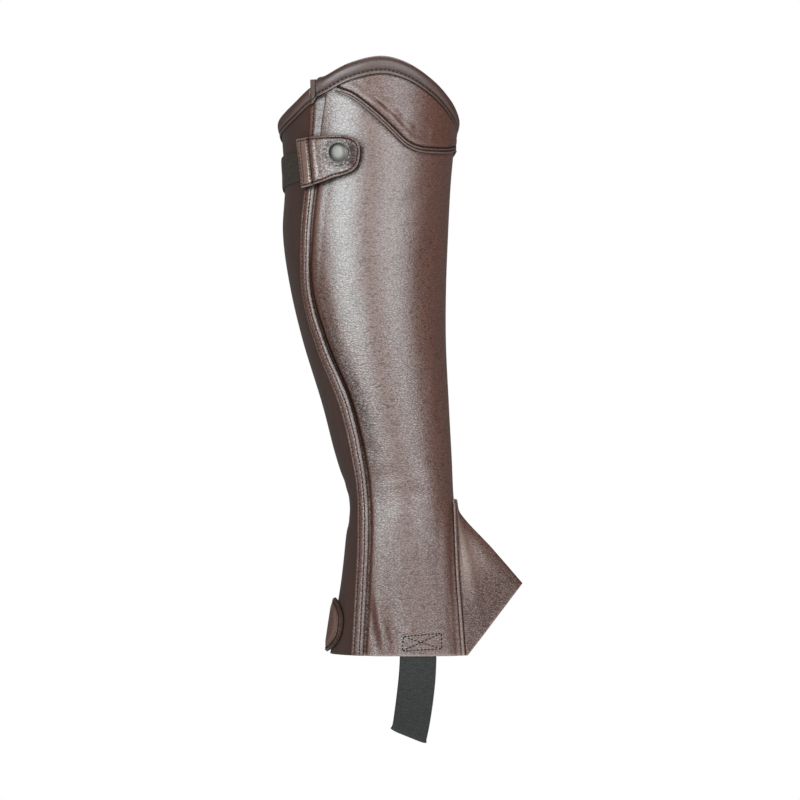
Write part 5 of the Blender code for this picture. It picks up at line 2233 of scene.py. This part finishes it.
@dataclass(frozen=True)
class Softbox:
    """A soft studio light."""

    name: str
    turn: float  # how far round it stands from the camera, to the right
    rise: float  # how high it stands, in degrees
    distance: float
    width: float
    height: float
    power: float
    soaks: float = 1.0  # how much of it lights a surface's own colour
    shines: float = 1.0  # how much of it shows as gloss
    colour: Colour = (1.0, 1.0, 1.0)

    def light(self, aim: Vector) -> None:
        """Sets it up.

        Args:
            aim: What it faces.
        """
        data = bpy.data.lights.new(self.name, "AREA")
        data.shape = "RECTANGLE"
        data.size, data.size_y = self.width, self.height
        data.energy, data.color = self.power, self.colour
        data.diffuse_factor, data.specular_factor = self.soaks, self.shines
        lamp = bpy.data.objects.new(self.name, data)
        bpy.context.scene.collection.objects.link(lamp)
        turn, rise = math.radians(self.turn), math.radians(self.rise)
        back = Vector((math.sin(turn) * math.cos(rise), -math.cos(turn) * math.cos(rise), math.sin(rise)))
        lamp.location = aim + back * self.distance
        lamp.rotation_mode = "QUATERNION"
        lamp.rotation_quaternion = (-back).to_track_quat("-Z", "Y")


@dataclass
class Studio:
    """The floor, the lights and the camera."""

    camera_distance: float = 3.0
    metres_per_pixel: float = 0.00074
    image_width: int = 800
    middle_column: float = 366.0
    hem_row: float = 653.0
    floor_drop: float = 0.45
    floor_size: float = 5.0
    world_light: float = 0.18
    world_tint: Colour = (1.0, 0.98, 0.97)
    softboxes: tuple[Softbox, ...] = (
        Softbox("key_softbox", -25, 7, 2.0, 1.4, 1.7, 82.0, soaks=0.04, colour=(0.83, 1.0, 1.04)),
        Softbox("fill_softbox", 40, 3, 2.0, 1.4, 1.8, 39.0, soaks=0.0, colour=(0.82, 1.0, 1.06)),
        Softbox("side_softbox", 24, 20, 2.0, 1.6, 1.6, 22.5, shines=0.0),
        Softbox("top_softbox", -22, 58, 1.8, 0.7, 0.7, 3.0),
        Softbox("back_softbox", 172, 58, 2.2, 1.6, 1.6, 24.0),
    )

    def build(self) -> None:
        """Sets up the studio."""
        self.lay_floor()
        self.stand_camera()
        for softbox in self.softboxes:
            softbox.light(Vector((0.01, 0.0, -0.1)))
        self.light_world()

    def lay_floor(self) -> None:
        """Lays the pale floor, well below the part."""
        deselect()
        low = cad_box[0].z - self.floor_drop
        bpy.ops.mesh.primitive_plane_add(size=self.floor_size, location=(0.0, 0.0, low))
        floor = bpy.context.object
        floor.name = floor.data.name = "studio_floor"
        floor.data.materials.append(PaleFloor().make())
        bpy.ops.object.transform_apply(location=True, rotation=True, scale=True)

    def stand_camera(self) -> None:
        """Stands the camera square to the outer side, at the photograph's distance and framing."""
        data = bpy.data.cameras.new("camera")
        data.sensor_width = 36.0
        data.lens = data.sensor_width * self.camera_distance / (self.image_width * self.metres_per_pixel)
        data.clip_end = 20.0
        camera = bpy.data.objects.new("camera", data)
        bpy.context.scene.collection.objects.link(camera)
        half = self.image_width / 2
        right = (half - self.middle_column) * self.metres_per_pixel
        up = (self.hem_row - half) * self.metres_per_pixel - LEG.calf_above_hem
        camera.location = (right, -self.camera_distance, up)
        camera.rotation_euler = (math.radians(90), 0.0, 0.0)
        bpy.context.scene.camera = camera

    def light_world(self) -> None:
        """Surrounds the part with even pale light, white where the camera looks past it."""
        world = bpy.data.worlds.new("studio_world")
        world.use_nodes = True
        tree = world.node_tree
        background = tree.nodes["Background"]
        rays = tree.nodes.new("ShaderNodeLightPath")
        tint = tree.nodes.new("ShaderNodeMix")
        tint.data_type = "RGBA"
        tint.inputs[6].default_value = (*self.world_tint, 1.0)
        tint.inputs[7].default_value = (1.0, 1.0, 1.0, 1.0)
        tree.links.new(rays.outputs["Is Camera Ray"], tint.inputs[0])
        tree.links.new(tint.outputs[2], background.inputs["Color"])
        strength = tree.nodes.new("ShaderNodeMapRange")
        strength.inputs["To Min"].default_value = self.world_light
        strength.inputs["To Max"].default_value = 1.0
        tree.links.new(rays.outputs["Is Camera Ray"], strength.inputs["Value"])
        tree.links.new(strength.outputs["Result"], background.inputs["Strength"])
        scene = bpy.context.scene
        scene.world = world
        scene.view_settings.view_transform = "Standard"


def main() -> None:
    """Builds and dresses every piece, then the studio."""
    logging.basicConfig(level=logging.INFO, format="%(message)s")
    wardrobe = Wardrobe()
    body, yoke = BodyLeather(wardrobe), Yoke(wardrobe)
    closing, calf = Zip(wardrobe, body), StretchCalf(wardrobe, body)
    tab = SnapTab(wardrobe, closing)
    body.build(tab, yoke)
    calf.build()
    closing.build_tape()
    closing.build_coil()
    closing.build_guard(tab)
    Binding(wardrobe, calf).build()
    yoke.build()
    tab.build_tab()
    tab.build_snap()
    tab.build_elastic()
    for piece in (HeelPatch, Spat, FootStrap, BackSeam):
        piece(wardrobe).build()
    Studio().build()


if __name__ == "__main__":
    main()
